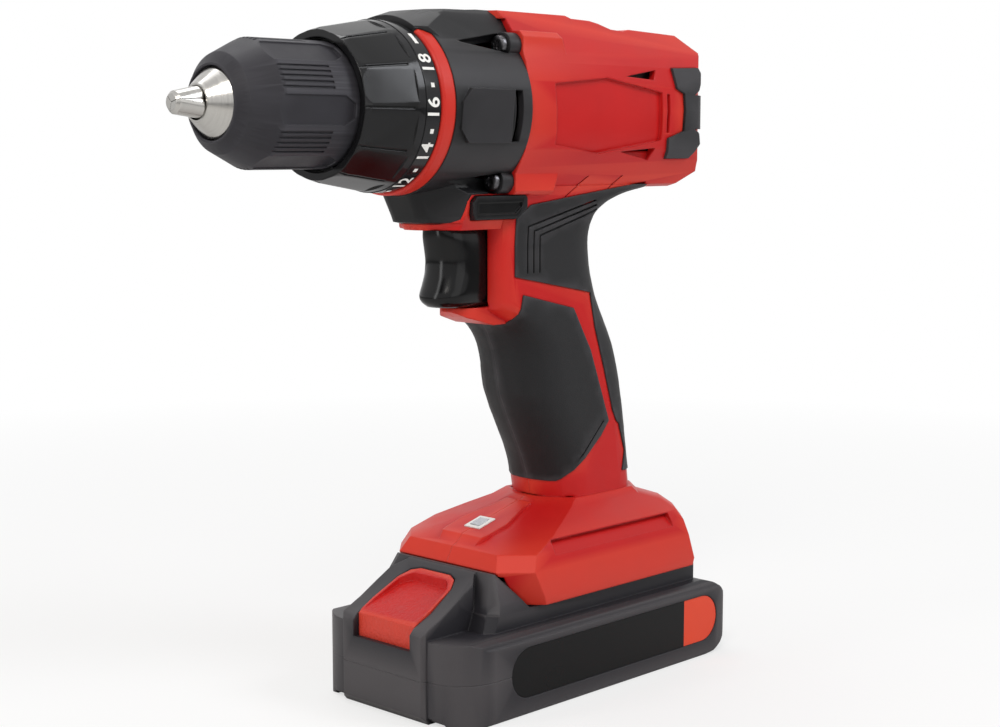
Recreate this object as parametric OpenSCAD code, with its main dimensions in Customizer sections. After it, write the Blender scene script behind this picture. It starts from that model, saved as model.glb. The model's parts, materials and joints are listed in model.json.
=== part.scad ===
// Cordless drill driver with a keyless chuck, a two-speed planetary gearbox and a slide-on battery.
// The drill axis runs along X with the chuck towards -X, Y = 0 is the parting plane of the
// housing, and the battery stands on Z = 0.

/* [Overall] */
// Height of the drill axis above the surface that the drill stands on
axis_z = 208; // [200:1:216]
// Gap between pieces that slide or turn past each other
slide_gap = 0.3; // [0.25:0.05:0.4]

/* [Barrel] */
// Outer radius of the motor housing
barrel_r = 29; // [26.25:0.25:31.75]
// Outer radius of the gear cover
cover_r = 30; // [29:0.25:31]
// Distance of the gear cover's front face ahead of the handle
cover_front = 51.6; // [50:0.2:54]
// Length of the gear cover
cover_len = 36; // [36:0.5:38]
// Distance of the housing's rear face behind the handle
barrel_rear = 87.5; // [84:1:92]
// Wall thickness of the housing mouldings
wall = 2.5; // [2:0.1:3]
// Height of the gear selector hump above the barrel
hump_h = 4; // [3.5:0.25:6]

/* [Chuck] */
// Outer radius of the chuck sleeve
sleeve_r = 20.5; // [20:0.25:22]
// Length of the chuck sleeve
sleeve_len = 45.5; // [44:0.5:47]
// Radius of the steel nose where it meets the sleeve
nose_r = 11.1; // [10.5:0.1:12]
// Largest shank that the jaws open to
chuck_capacity = 10; // [8:0.5:10]
// Radius of a jaw rod
jaw_r = 3.9; // [3.6:0.1:4]
// Lean of each jaw from the drill axis, in degrees
jaw_lean = 12; // [11:0.5:13]
// Number of grip groups around the sleeve
grip_groups = 6; // [4:1:8]

/* [Torque collar] */
// Radius of the collar at its number band
collar_r = 28.5; // [27.5:0.25:29]
// Length of the collar
collar_len = 29; // [27:0.5:31]
// Number of flats around the collar
collar_flats = 12; // [8:1:16]
// Width of the number band
band_w = 6.5; // [5:0.5:8]
// Width of the red ring behind the collar
accent_w = 5.4; // [4:0.2:6]

/* [Gear train] */
// Gear module of all three planetary stages
gear_m = 0.9; // [0.85:0.05:0.9]
// Teeth on each sun gear
sun_teeth = 12; // [12:12:12]
// Teeth on each planet gear
planet_teeth = 12; // [12:12:12]
// Face width of the planet gears
gear_w = 6; // [5.5:0.1:6]
// Thickness of the planet carriers
carrier_t = 4; // [3.6:0.1:4]
// Radius of the planet pins
pin_r = 1.8; // [1.6:0.1:2]
// Number of planets in a stage
planet_count = 3; // [3:1:3]

/* [Motor] */
// Radius of the motor can
motor_r = 18.5; // [17.5:0.25:19]
// Length of the motor can
motor_len = 57; // [52:1:60]
// Radius of the motor shaft
shaft_r = 1.6; // [1.5:0.1:2]

/* [Handle] */
// Width of the handle
handle_w = 34; // [32:0.5:36]
// How far the soft grips stand above the housing
grip_proud = 0.5; // [0.3:0.1:0.8]
// Thickness of the soft grips
grip_t = 1.8; // [1.5:0.1:2]
// Travel of the trigger
trigger_travel = 6.5; // [4:0.5:7]
// Width of the trigger
trigger_w = 19; // [17:0.5:20]
// Travel of the direction slider to each side of its middle
direction_travel = 3; // [2:0.5:4]

/* [Foot] */
// Width of the foot that the battery slides into
foot_w = 69; // [67:0.5:71]
// Height of the foot's lower edge
foot_z = 35.5; // [34.5:0.25:37]
// Length of the foot along its lower edge
foot_len = 95; // [93:1:97]

/* [Battery] */
// Room between a cell's end and the case, for the straps that join the cells
cell_end_room = 3.3; // [2.8:0.1:4]
// Height of the battery's slab
battery_h = 29; // [28:0.25:30]
// Distance of the battery's front face ahead of the handle
battery_front = 59.6; // [58:0.2:62]
// Distance of the battery's rear end behind the handle
battery_rear = 88.5; // [86:0.5:90]
// Wall thickness of the battery case
battery_wall = 2.2; // [1.8:0.1:2.5]
// Radius of a lithium cell
cell_r = 9.2; // [9:0.1:9.3]
// Length of a lithium cell
cell_len = 65; // [64:0.5:66]
// Number of cells
cell_count = 5; // [3:1:5]

/* [Hidden] */
$fn = 64;

red = "#c8171c";
dark = "#2b2b2e";
steel = "#b9b9bb";
brass = "#c2a55a";

// Fit between a shaft and its hole
run_fit = 0.05;

// Stations along the axis; forward is negative
cover_x0 = -cover_front;
cover_x1 = cover_x0 + cover_len;
accent_x0 = cover_x0 - accent_w;
collar_x1 = accent_x0;
collar_x0 = collar_x1 - collar_len;
band_x0 = collar_x1 - band_w;
sleeve_x1 = collar_x0 + 4;
sleeve_x0 = sleeve_x1 - sleeve_len;

// ---------- general shapes ----------

function arc2(c, r, a0, a1, n) =
  [for (i = [0:n]) let (a = a0 + (a1 - a0) * i / n) c + r * [cos(a), sin(a)]];

// Plan outline from front to rear with its own corner radius at each end, anticlockwise
function plan_ring(front, rear, half, r_front, r_rear, n) = concat(
  arc2([rear - r_rear, half - r_rear], r_rear, 0, 90, n), arc2([front + r_front, half - r_front], r_front, 90,
    180, n),
  arc2([front + r_front, r_front - half], r_front, 180, 270, n),
    arc2([rear - r_rear, r_rear - half], r_rear, 270, 360, n));

// Smooth value at z through rows [z, a, b, ...], column k (Catmull-Rom)
function spline_at(rows, z, k) = let (
  n = len(rows),
  i = max([0, for (j = [0:n - 2]) if (z >= rows[j][0]) j]),
  p1 = rows[i],
  p2 = rows[i + 1],
  p0 = i > 0 ? rows[i - 1] : p1,
  p3 = i < n - 2 ? rows[i + 2] : p2,
  h = p2[0] - p1[0],
  t = (z - p1[0]) / h,
  m1 = i > 0 ? (p2[k] - p0[k]) / (p2[0] - p0[0]) * h : p2[k] - p1[k],
  m2 = i < n - 2 ? (p3[k] - p1[k]) / (p3[0] - p1[0]) * h : p2[k] - p1[k])
  (2 * t^3 - 3 * t^2 + 1) * p1[k] + (t^3 - 2 * t^2 + t) * m1
  + (3 * t^2 - 2 * t^3) * p2[k] + (t^3 - t^2) * m2;

// Solid through a list of rings with equal point counts, each anticlockwise seen from the last
module loft(rings) {
  n = len(rings[0]);
  m = len(rings);
  sides = [for (j = [0:m - 2], i = [0:n - 1]) let (
    a = j * n + i,
    b = j * n + (i + 1) % n,
    c = b + n,
    d = a + n) each [[a, d, c], [a, c, b]]];
  polyhedron([for (ring = rings) each ring],
    concat([[for (i = [0:n - 1]) i]], sides, [[for (i = [n - 1:-1:0]) (m - 1) * n + i]]), 8);
}

// Solid of revolution about the drill axis, outline given as [x, radius]
module turned(outline) {
  translate([0, 0, axis_z])
  rotate([0, 90, 0])
  rotate_extrude()
  polygon([for (p = outline) [p[1], p[0]]]);
}

// Cylinder along the drill axis
module on_axis(x0, x1, r) {
  translate([x0, 0, axis_z]) rotate([0, 90, 0]) cylinder(r = r, h = x1 - x0);
}

// Tube along the drill axis
module tube_on_axis(x0, x1, r_out, r_in) {
  turned([[x0, r_in], [x1, r_in], [x1, r_out], [x0, r_out]]);
}

// Cylinder along X through a point
module along_x(x0, x1, y, z, r) {
  translate([x0, y, z]) rotate([0, 90, 0]) cylinder(r = r, h = x1 - x0);
}

// Cylinder along Y through a point
module along_y(y0, y1, x, z, r) {
  translate([x, y0, z]) rotate([-90, 0, 0]) cylinder(r = r, h = y1 - y0);
}

// Plate with the side outline [x, z], between two Y values
module side_plate(outline, y0, y1) {
  translate([0, y1, 0]) rotate([90, 0, 0]) linear_extrude(y1 - y0) polygon(outline);
}

// Box from two corners
module block(a, b) {
  translate(a) cube(b - a);
}

module mirror_both_sides() {
  children();
  mirror([0, 1, 0]) children();
}

// Turns its children about the drill axis; local +Z points away from the axis. An angle of 0
// faces the left side (-Y) and 90 faces up.
module about_axis(angle) {
  translate([0, 0, axis_z]) rotate([90 - angle, 0, 0]) children();
}

// ---------- chuck ----------

jaw_out = 14.5;
jaw_len = 36;
jaw_tip_x = sleeve_x0 - jaw_out;
jaw_tip_d = -0.18 * jaw_r;
jaw_travel = chuck_capacity / 2 / sin(jaw_lean);
jaw_angles = [75, 195, -45];
chuck_x1 = sleeve_x1 - 4;
chuck_body_r = sleeve_r - 3.9;
shank_bore_r = chuck_capacity / 2 + 0.3;
nut_x0 = sleeve_x0 + 17.5;
nut_w = 8.6;
thread_r = 4.75;
thread_x0 = chuck_x1 - 11;
spindle_r = 6.5;

// Distance of a closed jaw's centre line from the drill axis
function jaw_d(x) = jaw_tip_d + (x - jaw_tip_x) * tan(jaw_lean);

// Distance of a jaw's outermost line from the drill axis
function jaw_outer(x) = jaw_d(x) + jaw_r / cos(jaw_lean);

module jaw_rod(r, start, end) {
  translate([jaw_tip_x, 0, jaw_tip_d])
  rotate([0, 90 - jaw_lean, 0])
  translate([0, 0, start])
  cylinder(r = r, h = end - start);
}

// Part-thread on the outside of a jaw
module jaw_teeth() {
  pitch = 1.5;
  depth = 0.7;
  x0 = nut_x0 - 2;
  count = 7;
  rotate([0, 90, 0])
  rotate_extrude()
  polygon(concat(
    [for (i = [0:count]) each [
      [jaw_outer(x0 + i * pitch) - depth, x0 + i * pitch],
      [jaw_outer(x0 + i * pitch) + 0.2, x0 + (i + 0.5) * pitch]]],
    [[jaw_outer(x0) + 4, x0 + count * pitch], [jaw_outer(x0) + 4, x0]]));
}

module jaw(k) {
  tip_r = jaw_outer(jaw_tip_x) - 0.7;
  half_gap = 0.1;
  reach = 3 * jaw_r;
  color(steel)
  about_axis(jaw_angles[k])
  difference() {
    intersection() {
      jaw_rod(jaw_r, -3, jaw_len);
      translate([jaw_tip_x, 0, 0])
      rotate([90, 0, 90])
      linear_extrude(jaw_len + 4)
      polygon([[0, half_gap], [reach * sin(60), half_gap + reach * cos(60)], [reach * sin(60), 2 * reach],
        [-reach * sin(60), 2 * reach], [-reach * sin(60), half_gap + reach * cos(60)]]);
      translate([jaw_tip_x, 0, 0])
      rotate([0, 90, 0])
      cylinder(r1 = tip_r, r2 = tip_r + jaw_len + 4, h = jaw_len + 4);
    }
    jaw_teeth();
  }
}

module chuck_body() {
  color(steel)
  difference() {
    turned([[sleeve_x0 - 5.5, 0], [chuck_x1, 0], [chuck_x1, chuck_body_r - 1], [chuck_x1 - 1, chuck_body_r],
      [nut_x0 + nut_w + 0.4, chuck_body_r], [nut_x0 + nut_w + 0.4, jaw_outer(nut_x0) - 0.9],
      [nut_x0 - 0.4, jaw_outer(nut_x0) - 0.9], [nut_x0 - 0.4, chuck_body_r - 0.4],
      [sleeve_x0 + 15, chuck_body_r - 0.4], [sleeve_x0 + 5, nose_r], [sleeve_x0 + 0.8, nose_r],
      [sleeve_x0 - 5.5, nose_r - 5.2]]);
    on_axis(sleeve_x0 - 6, thread_x0 - 0.2, shank_bore_r);
    on_axis(thread_x0 - 1, chuck_x1 + 1, thread_r);
    for (a = jaw_angles) about_axis(a) jaw_rod(jaw_r + run_fit, -4, jaw_len + jaw_travel + 8);
  }
}

module chuck_nut() {
  color(steel)
  turned([[nut_x0, jaw_outer(nut_x0) + 0.25], [nut_x0 + nut_w, jaw_outer(nut_x0 + nut_w) + 0.25],
    [nut_x0 + nut_w, chuck_body_r + 0.4], [nut_x0, chuck_body_r + 0.4]]);
}

module chuck_sleeve() {
  bore = chuck_body_r + 0.4;
  group = 360 / grip_groups;
  land_x0 = sleeve_x0 + 11.5;
  land_x1 = sleeve_x1 - 4.5;
  land_half = sleeve_r * sin(group * 0.22);
  color(dark)
  difference() {
    turned([[sleeve_x0, nose_r + 0.4], [sleeve_x0 + 4, nose_r + 0.4], [sleeve_x0 + 14, bore],
      [sleeve_x1, bore],
      [sleeve_x1, sleeve_r - 1], [sleeve_x1 - 1.5, sleeve_r], [sleeve_x0 + 13.5, sleeve_r],
      [sleeve_x0 + 3.1, sleeve_r - 4.8], [sleeve_x0 + 0.4, nose_r + 1.4], [sleeve_x0, nose_r + 1.1]]);
    for (i = [0:grip_groups - 1]) {
      // smooth flat between two ribbed lands
      about_axis(-6 + i * group)
      translate([0, 0, sleeve_r - 0.9])
      linear_extrude(3)
      polygon([[land_x0, -land_half], [land_x1 - 4, -land_half], [land_x1, -land_half / 2],
        [land_x1, land_half / 2],
        [land_x1 - 4, land_half], [land_x0, land_half]]);
      // five fine grooves along each land
      for (j = [-2:2])
        about_axis(-6 + (i + 0.5) * group + j * group * 0.085)
        translate([0, 0, sleeve_r - 0.5])
        linear_extrude(3)
        polygon([[land_x0 - 2, -0.4], [land_x1 - 8, -0.4], [land_x1 - 8, 0.4], [land_x0 - 2, 0.4]]);
    }
  }
}

module chuck_screw() {
  color("#6f6f72") {
    difference() {
      on_axis(thread_x0 - 3.2, thread_x0, 3.4);
      translate([thread_x0 - 3.3, 0, axis_z]) rotate([0, 90, 0]) cylinder(r = 1.6, h = 2, $fn = 6);
    }
    on_axis(thread_x0, chuck_x1 + 4, 2);
  }
}

// ---------- planetary gear train ----------

pressure_angle = 25;
addendum = 0.75 * gear_m;
dedendum = 1.0 * gear_m;
backlash = 0.09;
ring_teeth = sun_teeth + 2 * planet_teeth;
orbit_r = (sun_teeth + planet_teeth) * gear_m / 2;
ring_tip_r = ring_teeth * gear_m / 2 - addendum;
ring_out_r = ring_teeth * gear_m / 2 + dedendum + 1.8;
planet_step = 360 / planet_count;

// Involute function of the angle at radius r on a gear of pitch radius rp, in degrees
function involute(rp, r) = let (rb = rp * cos(pressure_angle),
  a = acos(min(1, rb / r))) tan(a) * 180 / PI - a;

// Half the angle that a tooth fills at radius r
function half_tooth(teeth, rp, r, slack) =
  90 / teeth - slack / (2 * rp) * 180 / PI + involute(rp, rp) - involute(rp,
    max(r, rp * cos(pressure_angle)));

// Outline of an external gear, with a tooth centred on angle 0. A negative slack makes the
// cavity of an internal gear.
function gear_outline(teeth, add, ded, slack) = let (
  rp = teeth * gear_m / 2,
  radii = [rp - ded, max(rp - ded + 0.05, rp * cos(pressure_angle)), rp, rp + add])
  [for (i = [0:teeth - 1]) each concat(
    [for (r = radii) let (a = i * 360 / teeth - half_tooth(teeth, rp, r, slack)) r * [cos(a), sin(a)]],
    [for (k = [3:-1:0]) let (r = radii[k], a = i * 360 / teeth + half_tooth(teeth, rp, r, slack))
      r * [cos(a), sin(a)]])];

// External gear on the drill axis between two stations, turned by phase
module gear_on_axis(teeth, x0, x1, phase) {
  about_axis(phase)
  translate([x0, 0, 0])
  rotate([0, 90, 0])
  linear_extrude(x1 - x0)
  rotate(180)
  polygon(gear_outline(teeth, addendum, dedendum, backlash));
}

// Stations of the gear train, counted forward from the motor
gap = 0.4;
motor_x0 = cover_x1 + 2.6;
plate_x0 = motor_x0 - 2.5;
planet1_x1 = plate_x0 - gap;
planet1_x0 = planet1_x1 - gear_w;
carrier1_x1 = planet1_x0 - gap;
carrier1_x0 = carrier1_x1 - carrier_t;
planet2_x1 = carrier1_x0 - gap;
planet2_x0 = planet2_x1 - gear_w;
carrier2_x1 = planet2_x0 - gap;
carrier2_x0 = carrier2_x1 - carrier_t;
planet3_x1 = carrier2_x0 - gap;
planet3_x0 = planet3_x1 - gear_w;
carrier3_x1 = planet3_x0 - gap;
carrier3_x0 = carrier3_x1 - carrier_t;
lock_x1 = carrier3_x0 - gap;
lock_x0 = lock_x1 - 5;
case_front_x = lock_x0 - 3;
nose_x0 = chuck_x1 + 6;
shift_travel = carrier_t + 0.5;
carrier_r = ring_tip_r - 1.2;
case_in_r = ring_out_r + 0.2;
case_out_r = case_in_r + 2.6;
nose_tube_r = 13;
bush_out_r = spindle_r + 2.8;
clutch_pin_d = ring_out_r - 1.7;

module planet(x0, x1, k) {
  color(steel)
  about_axis(90 + k * planet_step)
  translate([x0, 0, orbit_r])
  rotate([0, 90, 0])
  linear_extrude(x1 - x0)
  difference() {
    rotate(180 / planet_teeth) polygon(gear_outline(planet_teeth, addendum, dedendum, backlash));
    circle(r = pin_r + run_fit);
  }
}

// Toothed ring with its cavity outline turned so that a land faces each planet
module ring_gear(x0, x1, r_out) {
  about_axis(90)
  translate([x0, 0, 0])
  rotate([0, 90, 0])
  linear_extrude(x1 - x0)
  difference() {
    circle(r = r_out);
    rotate(180 / ring_teeth) polygon(gear_outline(ring_teeth, dedendum, addendum, -backlash));
  }
}

module ring_gear_1() {
  color(steel) ring_gear(planet1_x0 - 0.1, plate_x0, ring_out_r);
}

module ring_gear_3() {
  color(steel) ring_gear(planet3_x0 - 0.1, planet3_x1 + 0.3, ring_out_r);
}

// Internal gear of the second stage, with the groove that the shift wire runs in
module shift_ring() {
  x0 = planet2_x0 - 0.6;
  x1 = carrier1_x0 - 0.6;
  color("#d8d4c8")
  difference() {
    ring_gear(x0, x1, ring_out_r);
    tube_on_axis(x1 - 3, x1 - 1, ring_out_r + 1, ring_out_r - 1);
  }
}

// Carrier plate with the planets' pins behind it
module carrier(x0, x1, pin_len) {
  color(steel) {
    on_axis(x0, x1, carrier_r);
    for (k = [0:planet_count - 1])
      about_axis(90 + k * planet_step)
      translate([x0 + 1, 0, orbit_r])
      rotate([0, 90, 0])
      cylinder(r = pin_r, h = x1 - x0 - 1 + pin_len);
  }
}

// Plate and sun gear of the next stage in one piece
module carrier_with_sun(x0, x1) {
  color(steel) union() {
    carrier(x0, x1, gear_w + gap);
    gear_on_axis(sun_teeth, x0 - gap - gear_w, x0, 90);
  }
}

module carrier_1() {
  carrier_with_sun(carrier1_x0, carrier1_x1);
}

module carrier_2() {
  carrier_with_sun(carrier2_x0, carrier2_x1);
}

module carrier_3() {
  color(steel) difference() {
    carrier(carrier3_x0, carrier3_x1, gear_w + gap);
    on_axis(carrier3_x0 - 1, carrier3_x0 + 2.5, spindle_r);
  }
}

module motor_pinion() {
  color(brass)
  difference() {
    gear_on_axis(sun_teeth, planet1_x0 + 0.2, motor_x0 - 0.6, 90);
    on_axis(planet1_x0 - 1, motor_x0, shaft_r);
  }
}

// ---------- spindle, lock and gear case ----------

lock_cam_r = 10.5;
roller_r = 2;
roller_count = 5;

module spindle() {
  color(steel) difference() {
    union() {
      on_axis(chuck_x1, carrier3_x0 + 2.5, spindle_r);
      on_axis(lock_x0 + 0.3, lock_x1 - 0.2, lock_cam_r);
      on_axis(thread_x0, chuck_x1, thread_r);
    }
    on_axis(thread_x0 - 1, chuck_x1 + 4, 2);
  }
}

module lock_ring() {
  color("#8b8b8f")
  tube_on_axis(lock_x0, lock_x1 + 0.1, lock_cam_r + 2 * roller_r + 1, lock_cam_r + 2 * roller_r + 0.05);
}

module lock_rollers() {
  color(steel)
  for (k = [0:roller_count - 1])
    about_axis(90 + k * 360 / roller_count)
    translate([lock_x0 + 0.4, 0, lock_cam_r + roller_r])
    rotate([0, 90, 0])
    cylinder(r = roller_r - 0.02, h = lock_x1 - lock_x0 - 0.8);
}

module spindle_bushes() {
  color(brass) {
    tube_on_axis(nose_x0, nose_x0 + 7, bush_out_r, spindle_r + run_fit);
    tube_on_axis(case_front_x - 8, case_front_x, bush_out_r, spindle_r + run_fit);
  }
}

module gear_case() {
  slot_x0 = carrier1_x0 - 4.6;
  color("#58585c")
  difference() {
    turned([[nose_x0, bush_out_r], [case_front_x, bush_out_r], [case_front_x, lock_cam_r + 1],
      [lock_x0, lock_cam_r + 1], [lock_x0, case_in_r], [plate_x0, case_in_r], [plate_x0, case_out_r],
      [case_front_x, case_out_r], [case_front_x, nose_tube_r], [nose_x0, nose_tube_r]]);
    // thread for the clutch nut
    for (x = [nose_x0 + 5:2:case_front_x - 6]) tube_on_axis(x, x + 1, nose_tube_r + 1, nose_tube_r - 0.6);
    for (k = [0:5])
      about_axis(k * 60)
      translate([case_front_x - 1, 0, clutch_pin_d])
      rotate([0, 90, 0])
      cylinder(r = 1.5, h = 5);
    // slots that the ends of the shift wire slide in
    for (a = [0, 180])
      about_axis(a)
      translate([slot_x0, -1.3, case_in_r - 2])
      cube([shift_travel + 3.4, 2.6, 6]);
  }
}

module clutch_pins() {
  color(steel)
  for (k = [0:5])
    about_axis(k * 60)
    translate([case_front_x - 0.5, 0, clutch_pin_d])
    rotate([0, 90, 0])
    cylinder(r = 1.4, h = planet3_x0 - 0.1 - case_front_x + 0.5);
}

clutch_washer_x0 = case_front_x - 2;
clutch_nut_w = 5;
clutch_nut_x1 = clutch_washer_x0 - 6;
clutch_nut_r = collar_r - 4.6;

module clutch_washer() {
  color(steel) tube_on_axis(clutch_washer_x0, case_front_x - 0.5, clutch_pin_d + 3, nose_tube_r + 0.3);
}

module clutch_nut() {
  color("#8c8f94")
  difference() {
    tube_on_axis(clutch_nut_x1 - clutch_nut_w, clutch_nut_x1, clutch_nut_r, nose_tube_r + 0.3);
    for (a = [0, 180])
      about_axis(a)
      translate([clutch_nut_x1 - clutch_nut_w - 1, -2.5, clutch_nut_r - 2.2])
      cube([clutch_nut_w + 2, 5, 5]);
  }
}

// Flat-ended compression spring, squeezed to its drill setting
module clutch_spring() {
  wire_r = 1.1;
  turns = 1.9;
  steps = 22;
  coil_r = nose_tube_r + 4.6;
  x0 = clutch_nut_x1 + wire_r + 0.1;
  x1 = clutch_washer_x0 - wire_r - 0.1;
  count = ceil(turns * steps);
  color(steel)
  loft([for (i = [0:count]) let (
    a = i * 360 / steps,
    x = x0 + (x1 - x0) * i / count)
    [for (k = [0:7]) let (b = -k * 45, r = coil_r + wire_r * cos(b))
      [x + wire_r * sin(b), r * cos(a), axis_z + r * sin(a)]]]);
}

// ---------- torque collar ----------

collar_front_r = collar_r - 4.4;
collar_bore_r = collar_r - 3.4;

module torque_collar() {
  slope = atan((collar_r - 0.2 - collar_front_r - 0.9) / (band_x0 - collar_x0 - 3));
  flat_a = 360 / collar_flats;
  web_x0 = nose_x0 + 0.5;
  color("#151517")
  difference() {
    turned([[collar_x0, sleeve_r + 1.2], [web_x0, sleeve_r + 1.2], [web_x0, nose_tube_r + 0.3],
      [web_x0 + 2, nose_tube_r + 0.3], [web_x0 + 3, collar_bore_r - 1.1], [band_x0, collar_bore_r],
      [collar_x1 - 0.3, collar_bore_r], [collar_x1 - 0.3, collar_r - 1], [band_x0, collar_r - 1],
      [band_x0, collar_r - 0.2], [collar_x0 + 2.5, collar_front_r + 0.9], [collar_x0, collar_front_r]]);
    // flats around the grip, each leaning with the taper
    for (i = [0:collar_flats - 1])
      about_axis(13 + i * flat_a)
      translate([collar_x0 + 3, 0, (collar_front_r + 0.9) * cos(flat_a / 2) + 0.35])
      rotate([0, -slope, 0])
      translate([-4, -collar_r / 2, 0])
      cube([band_x0 - collar_x0 - 1.5, collar_r, 6]);
    // notch at each edge between two flats
    for (i = [0:collar_flats - 1])
      about_axis(-2 + i * flat_a)
      translate([collar_x0 + 3, 0, collar_front_r + 0.45])
      rotate([0, -slope, 0])
      translate([-4, -0.35, 0])
      cube([band_x0 - collar_x0 - 3, 0.7, 3]);
  }
  // keys that turn the clutch nut
  color("#151517")
  for (a = [0, 180])
    about_axis(a)
    translate([web_x0 + 3.5, -2.1, clutch_nut_r - 1.8])
    cube([band_x0 - web_x0 - 3, 4.2, collar_bore_r - clutch_nut_r + 2.1]);
}

// Printed number band pressed over the back of the collar
module scale_ring() {
  color("#101012") tube_on_axis(band_x0, collar_x1 - 0.3, collar_r, collar_r - 1);
}

module accent_ring() {
  color(red)
  difference() {
    turned([[accent_x0, case_out_r + 1], [cover_x0, case_out_r + 1], [cover_x0, cover_r - 0.4],
      [accent_x0 + 0.8, cover_r - 0.4], [accent_x0, cover_r - 1.1]]);
    hood_wedge(0.1);
  }
}

// Wedge above the drill axis where the cover's hood interrupts the red ring, wider by g
module hood_wedge(g) {
  translate([accent_x0 - 1, 0, axis_z])
  rotate([90, 0, 90])
  linear_extrude(accent_w + 1)
  polygon([[0, 0], [26 + g, 40], [-26 - g, 40]]);
}

// ---------- barrel of the housing ----------

top_z = axis_z + barrel_r + hump_h;
step_z = axis_z + barrel_r + 2.7;
flat_z = axis_z + barrel_r;
belly_z = axis_z - barrel_r + 0.5;
barrel_half = barrel_r - 0.6;

// Half of the barrel's cross-section from top to bottom as [y, height above the axis]
function section_half(o) = let (w = barrel_half + o, h = barrel_r + o) [
  [0, h + 7], [0.44 * w, h + 7], [0.49 * w, h + 5.4], [0.865 * w, 0.71 * h], [0.945 * w, 0.54 * h],
  [0.985 * w, 0.32 * h], [w, 0], [0.985 * w, -0.28 * h], [0.935 * w, -0.5 * h], [0.81 * w, -0.71 * h],
  [0.69 * w, -0.93 * h], [0.53 * w, -h], [0, -h]];

module barrel_section(o, x0, x1) {
  half = section_half(o);
  n = len(half);
  translate([x0, 0, axis_z])
  rotate([90, 0, 90])
  linear_extrude(x1 - x0)
  polygon(concat(half, [for (i = [n - 2:-1:1]) [-half[i][0], half[i][1]]]));
}

// Barrel grown by o: a side outline, a cross-section and a rounded plan cut through each other
module barrel(o, x0) {
  rear = barrel_rear + o;
  w = barrel_half + o + 1;
  corner = 17 + o;
  intersection() {
    barrel_section(o, x0 - 2, rear + 2);
    side_plate([[x0, top_z + o], [17, top_z + o], [19.5, step_z + o + 0.3], [29, step_z + o],
      [33, step_z + o - 0.8],
      [38.5, flat_z + o], [45, flat_z + o - 0.4], [49, flat_z + o + 0.4], [rear - 12.5, flat_z + o - 0.6],
      [rear - 1, axis_z + 19.5], [rear + 1, axis_z + 15], [rear + 1, axis_z - 17.6],
        [rear - 1, axis_z - 21.4],
      [rear - 14, belly_z + 0.5 - o], [x0, belly_z + 0.3 - o]], -w - 1, w + 1);
    translate([0, 0, belly_z - 5])
    linear_extrude(2 * barrel_r + 20)
    polygon(concat([[x0 - 3, w], [x0 - 3, -w]], arc2([rear - corner, corner - w], corner, -90, 0, 6),
      arc2([rear - corner, w - corner], corner, 0, 90, 6)));
  }
}

// Tongue of the hump that reaches forward over the gear cover
tongue = [[cover_x1 + 0.1, -19], [cover_x1 - 3.1, -13], [cover_x1 - 9.4, 0], [cover_x1 - 3.1, 13],
  [cover_x1 + 0.1, 19]];

module tongue_prism() {
  translate([0, 0, axis_z + cover_r + 0.2]) linear_extrude(20) polygon(tongue);
}

// ---------- nose under the gear cover ----------

nose_bottom = axis_z - cover_r - 11.5;
nose_half = 17.5;
slider_x0 = -33;
slider_x1 = -6.4;
slider_z0 = nose_bottom + 3.6;
slider_z1 = slider_z0 + 8;

// Nose block from the chin back to the handle, before it is shared out between cover and housing
module nose_block() {
  rows = [[nose_bottom, -44.2, 6.6], [nose_bottom + 2.2, -45.2, 7.4], [nose_bottom + 2.7, -46.9, 9.2],
    [nose_bottom + 4.9, -47.5, 9.6], [belly_z, -51.4, 10], [belly_z + 10, -57.5, 11]];
  intersection() {
    loft([for (w = rows)
      [for (p = concat(arc2([w[1] + 5, 5 - w[2]], 5, 180, 255, 4),
        [[slider_x0 - 1, -nose_half], [cover_x1, -nose_half - 1],
        [cover_x1, nose_half + 1], [slider_x0 - 1, nose_half]], arc2([w[1] + 5, w[2] - 5], 5, 105, 180, 4)))
        [p[0], p[1], w[0]]]]);
    translate([cover_x0 - 10, 0, 0])
    rotate([90, 0, 90])
    linear_extrude(cover_len + 13)
    polygon([[3 - nose_half, nose_bottom - 1], [nose_half - 3, nose_bottom - 1],
      [nose_half - 0.5, nose_bottom + 5], [nose_half, nose_bottom + 8],
      [nose_half, nose_bottom + 12.5], [nose_half - 2, nose_bottom + 14.5], [13, belly_z + 9],
        [-13, belly_z + 9],
      [2 - nose_half, nose_bottom + 14.5], [-nose_half, nose_bottom + 12.5], [-nose_half, nose_bottom + 8],
      [0.5 - nose_half, nose_bottom + 5]]);
  }
}

// Part of the nose that belongs to the housing, seen from the side
module nose_share() {
  translate([0, 0, nose_bottom])
  side_plate([[cover_x0 - 1, -2], [cover_x0 - 1, 2.3], [slider_x0 - 8, 2.1], [slider_x0 - 6.5, 2.2],
    [slider_x0 - 3, 3.8],
    [slider_x0 - 2, 6.8], [slider_x0 - 1.2, 10], [slider_x0 + 0.5, 12], [cover_x1 + 0.1, 13],
      [cover_x1 + 0.1, -2]], -30, 30);
}

// ---------- screws of the gear cover ----------

boss_r = 4.3;
cover_screw_spots = [[20.5, axis_z + 21], [17, axis_z - 25]];
boss_x0 = cover_x1 - 5.4;
boss_x1 = cover_x1 + 21;
cover_screw_len = 20;
cover_screw_r = 1.9;

module at_cover_screws() {
  for (p = cover_screw_spots, s = [-1, 1]) translate([0, s * p[0], p[1]]) children();
}

module cover_screws() {
  color("#3a3a3c")
  at_cover_screws()
  difference() {
    rotate([0, 90, 0]) {
      translate([0, 0, boss_x0 - 2.4]) cylinder(r = 3.2, h = 2.4);
      translate([0, 0, boss_x0]) cylinder(r = cover_screw_r, h = cover_screw_len);
    }
    translate([boss_x0 - 2.5, 0, 0]) rotate([0, 90, 0]) cylinder(r = 1.6, h = 1.4, $fn = 6);
  }
}

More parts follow.
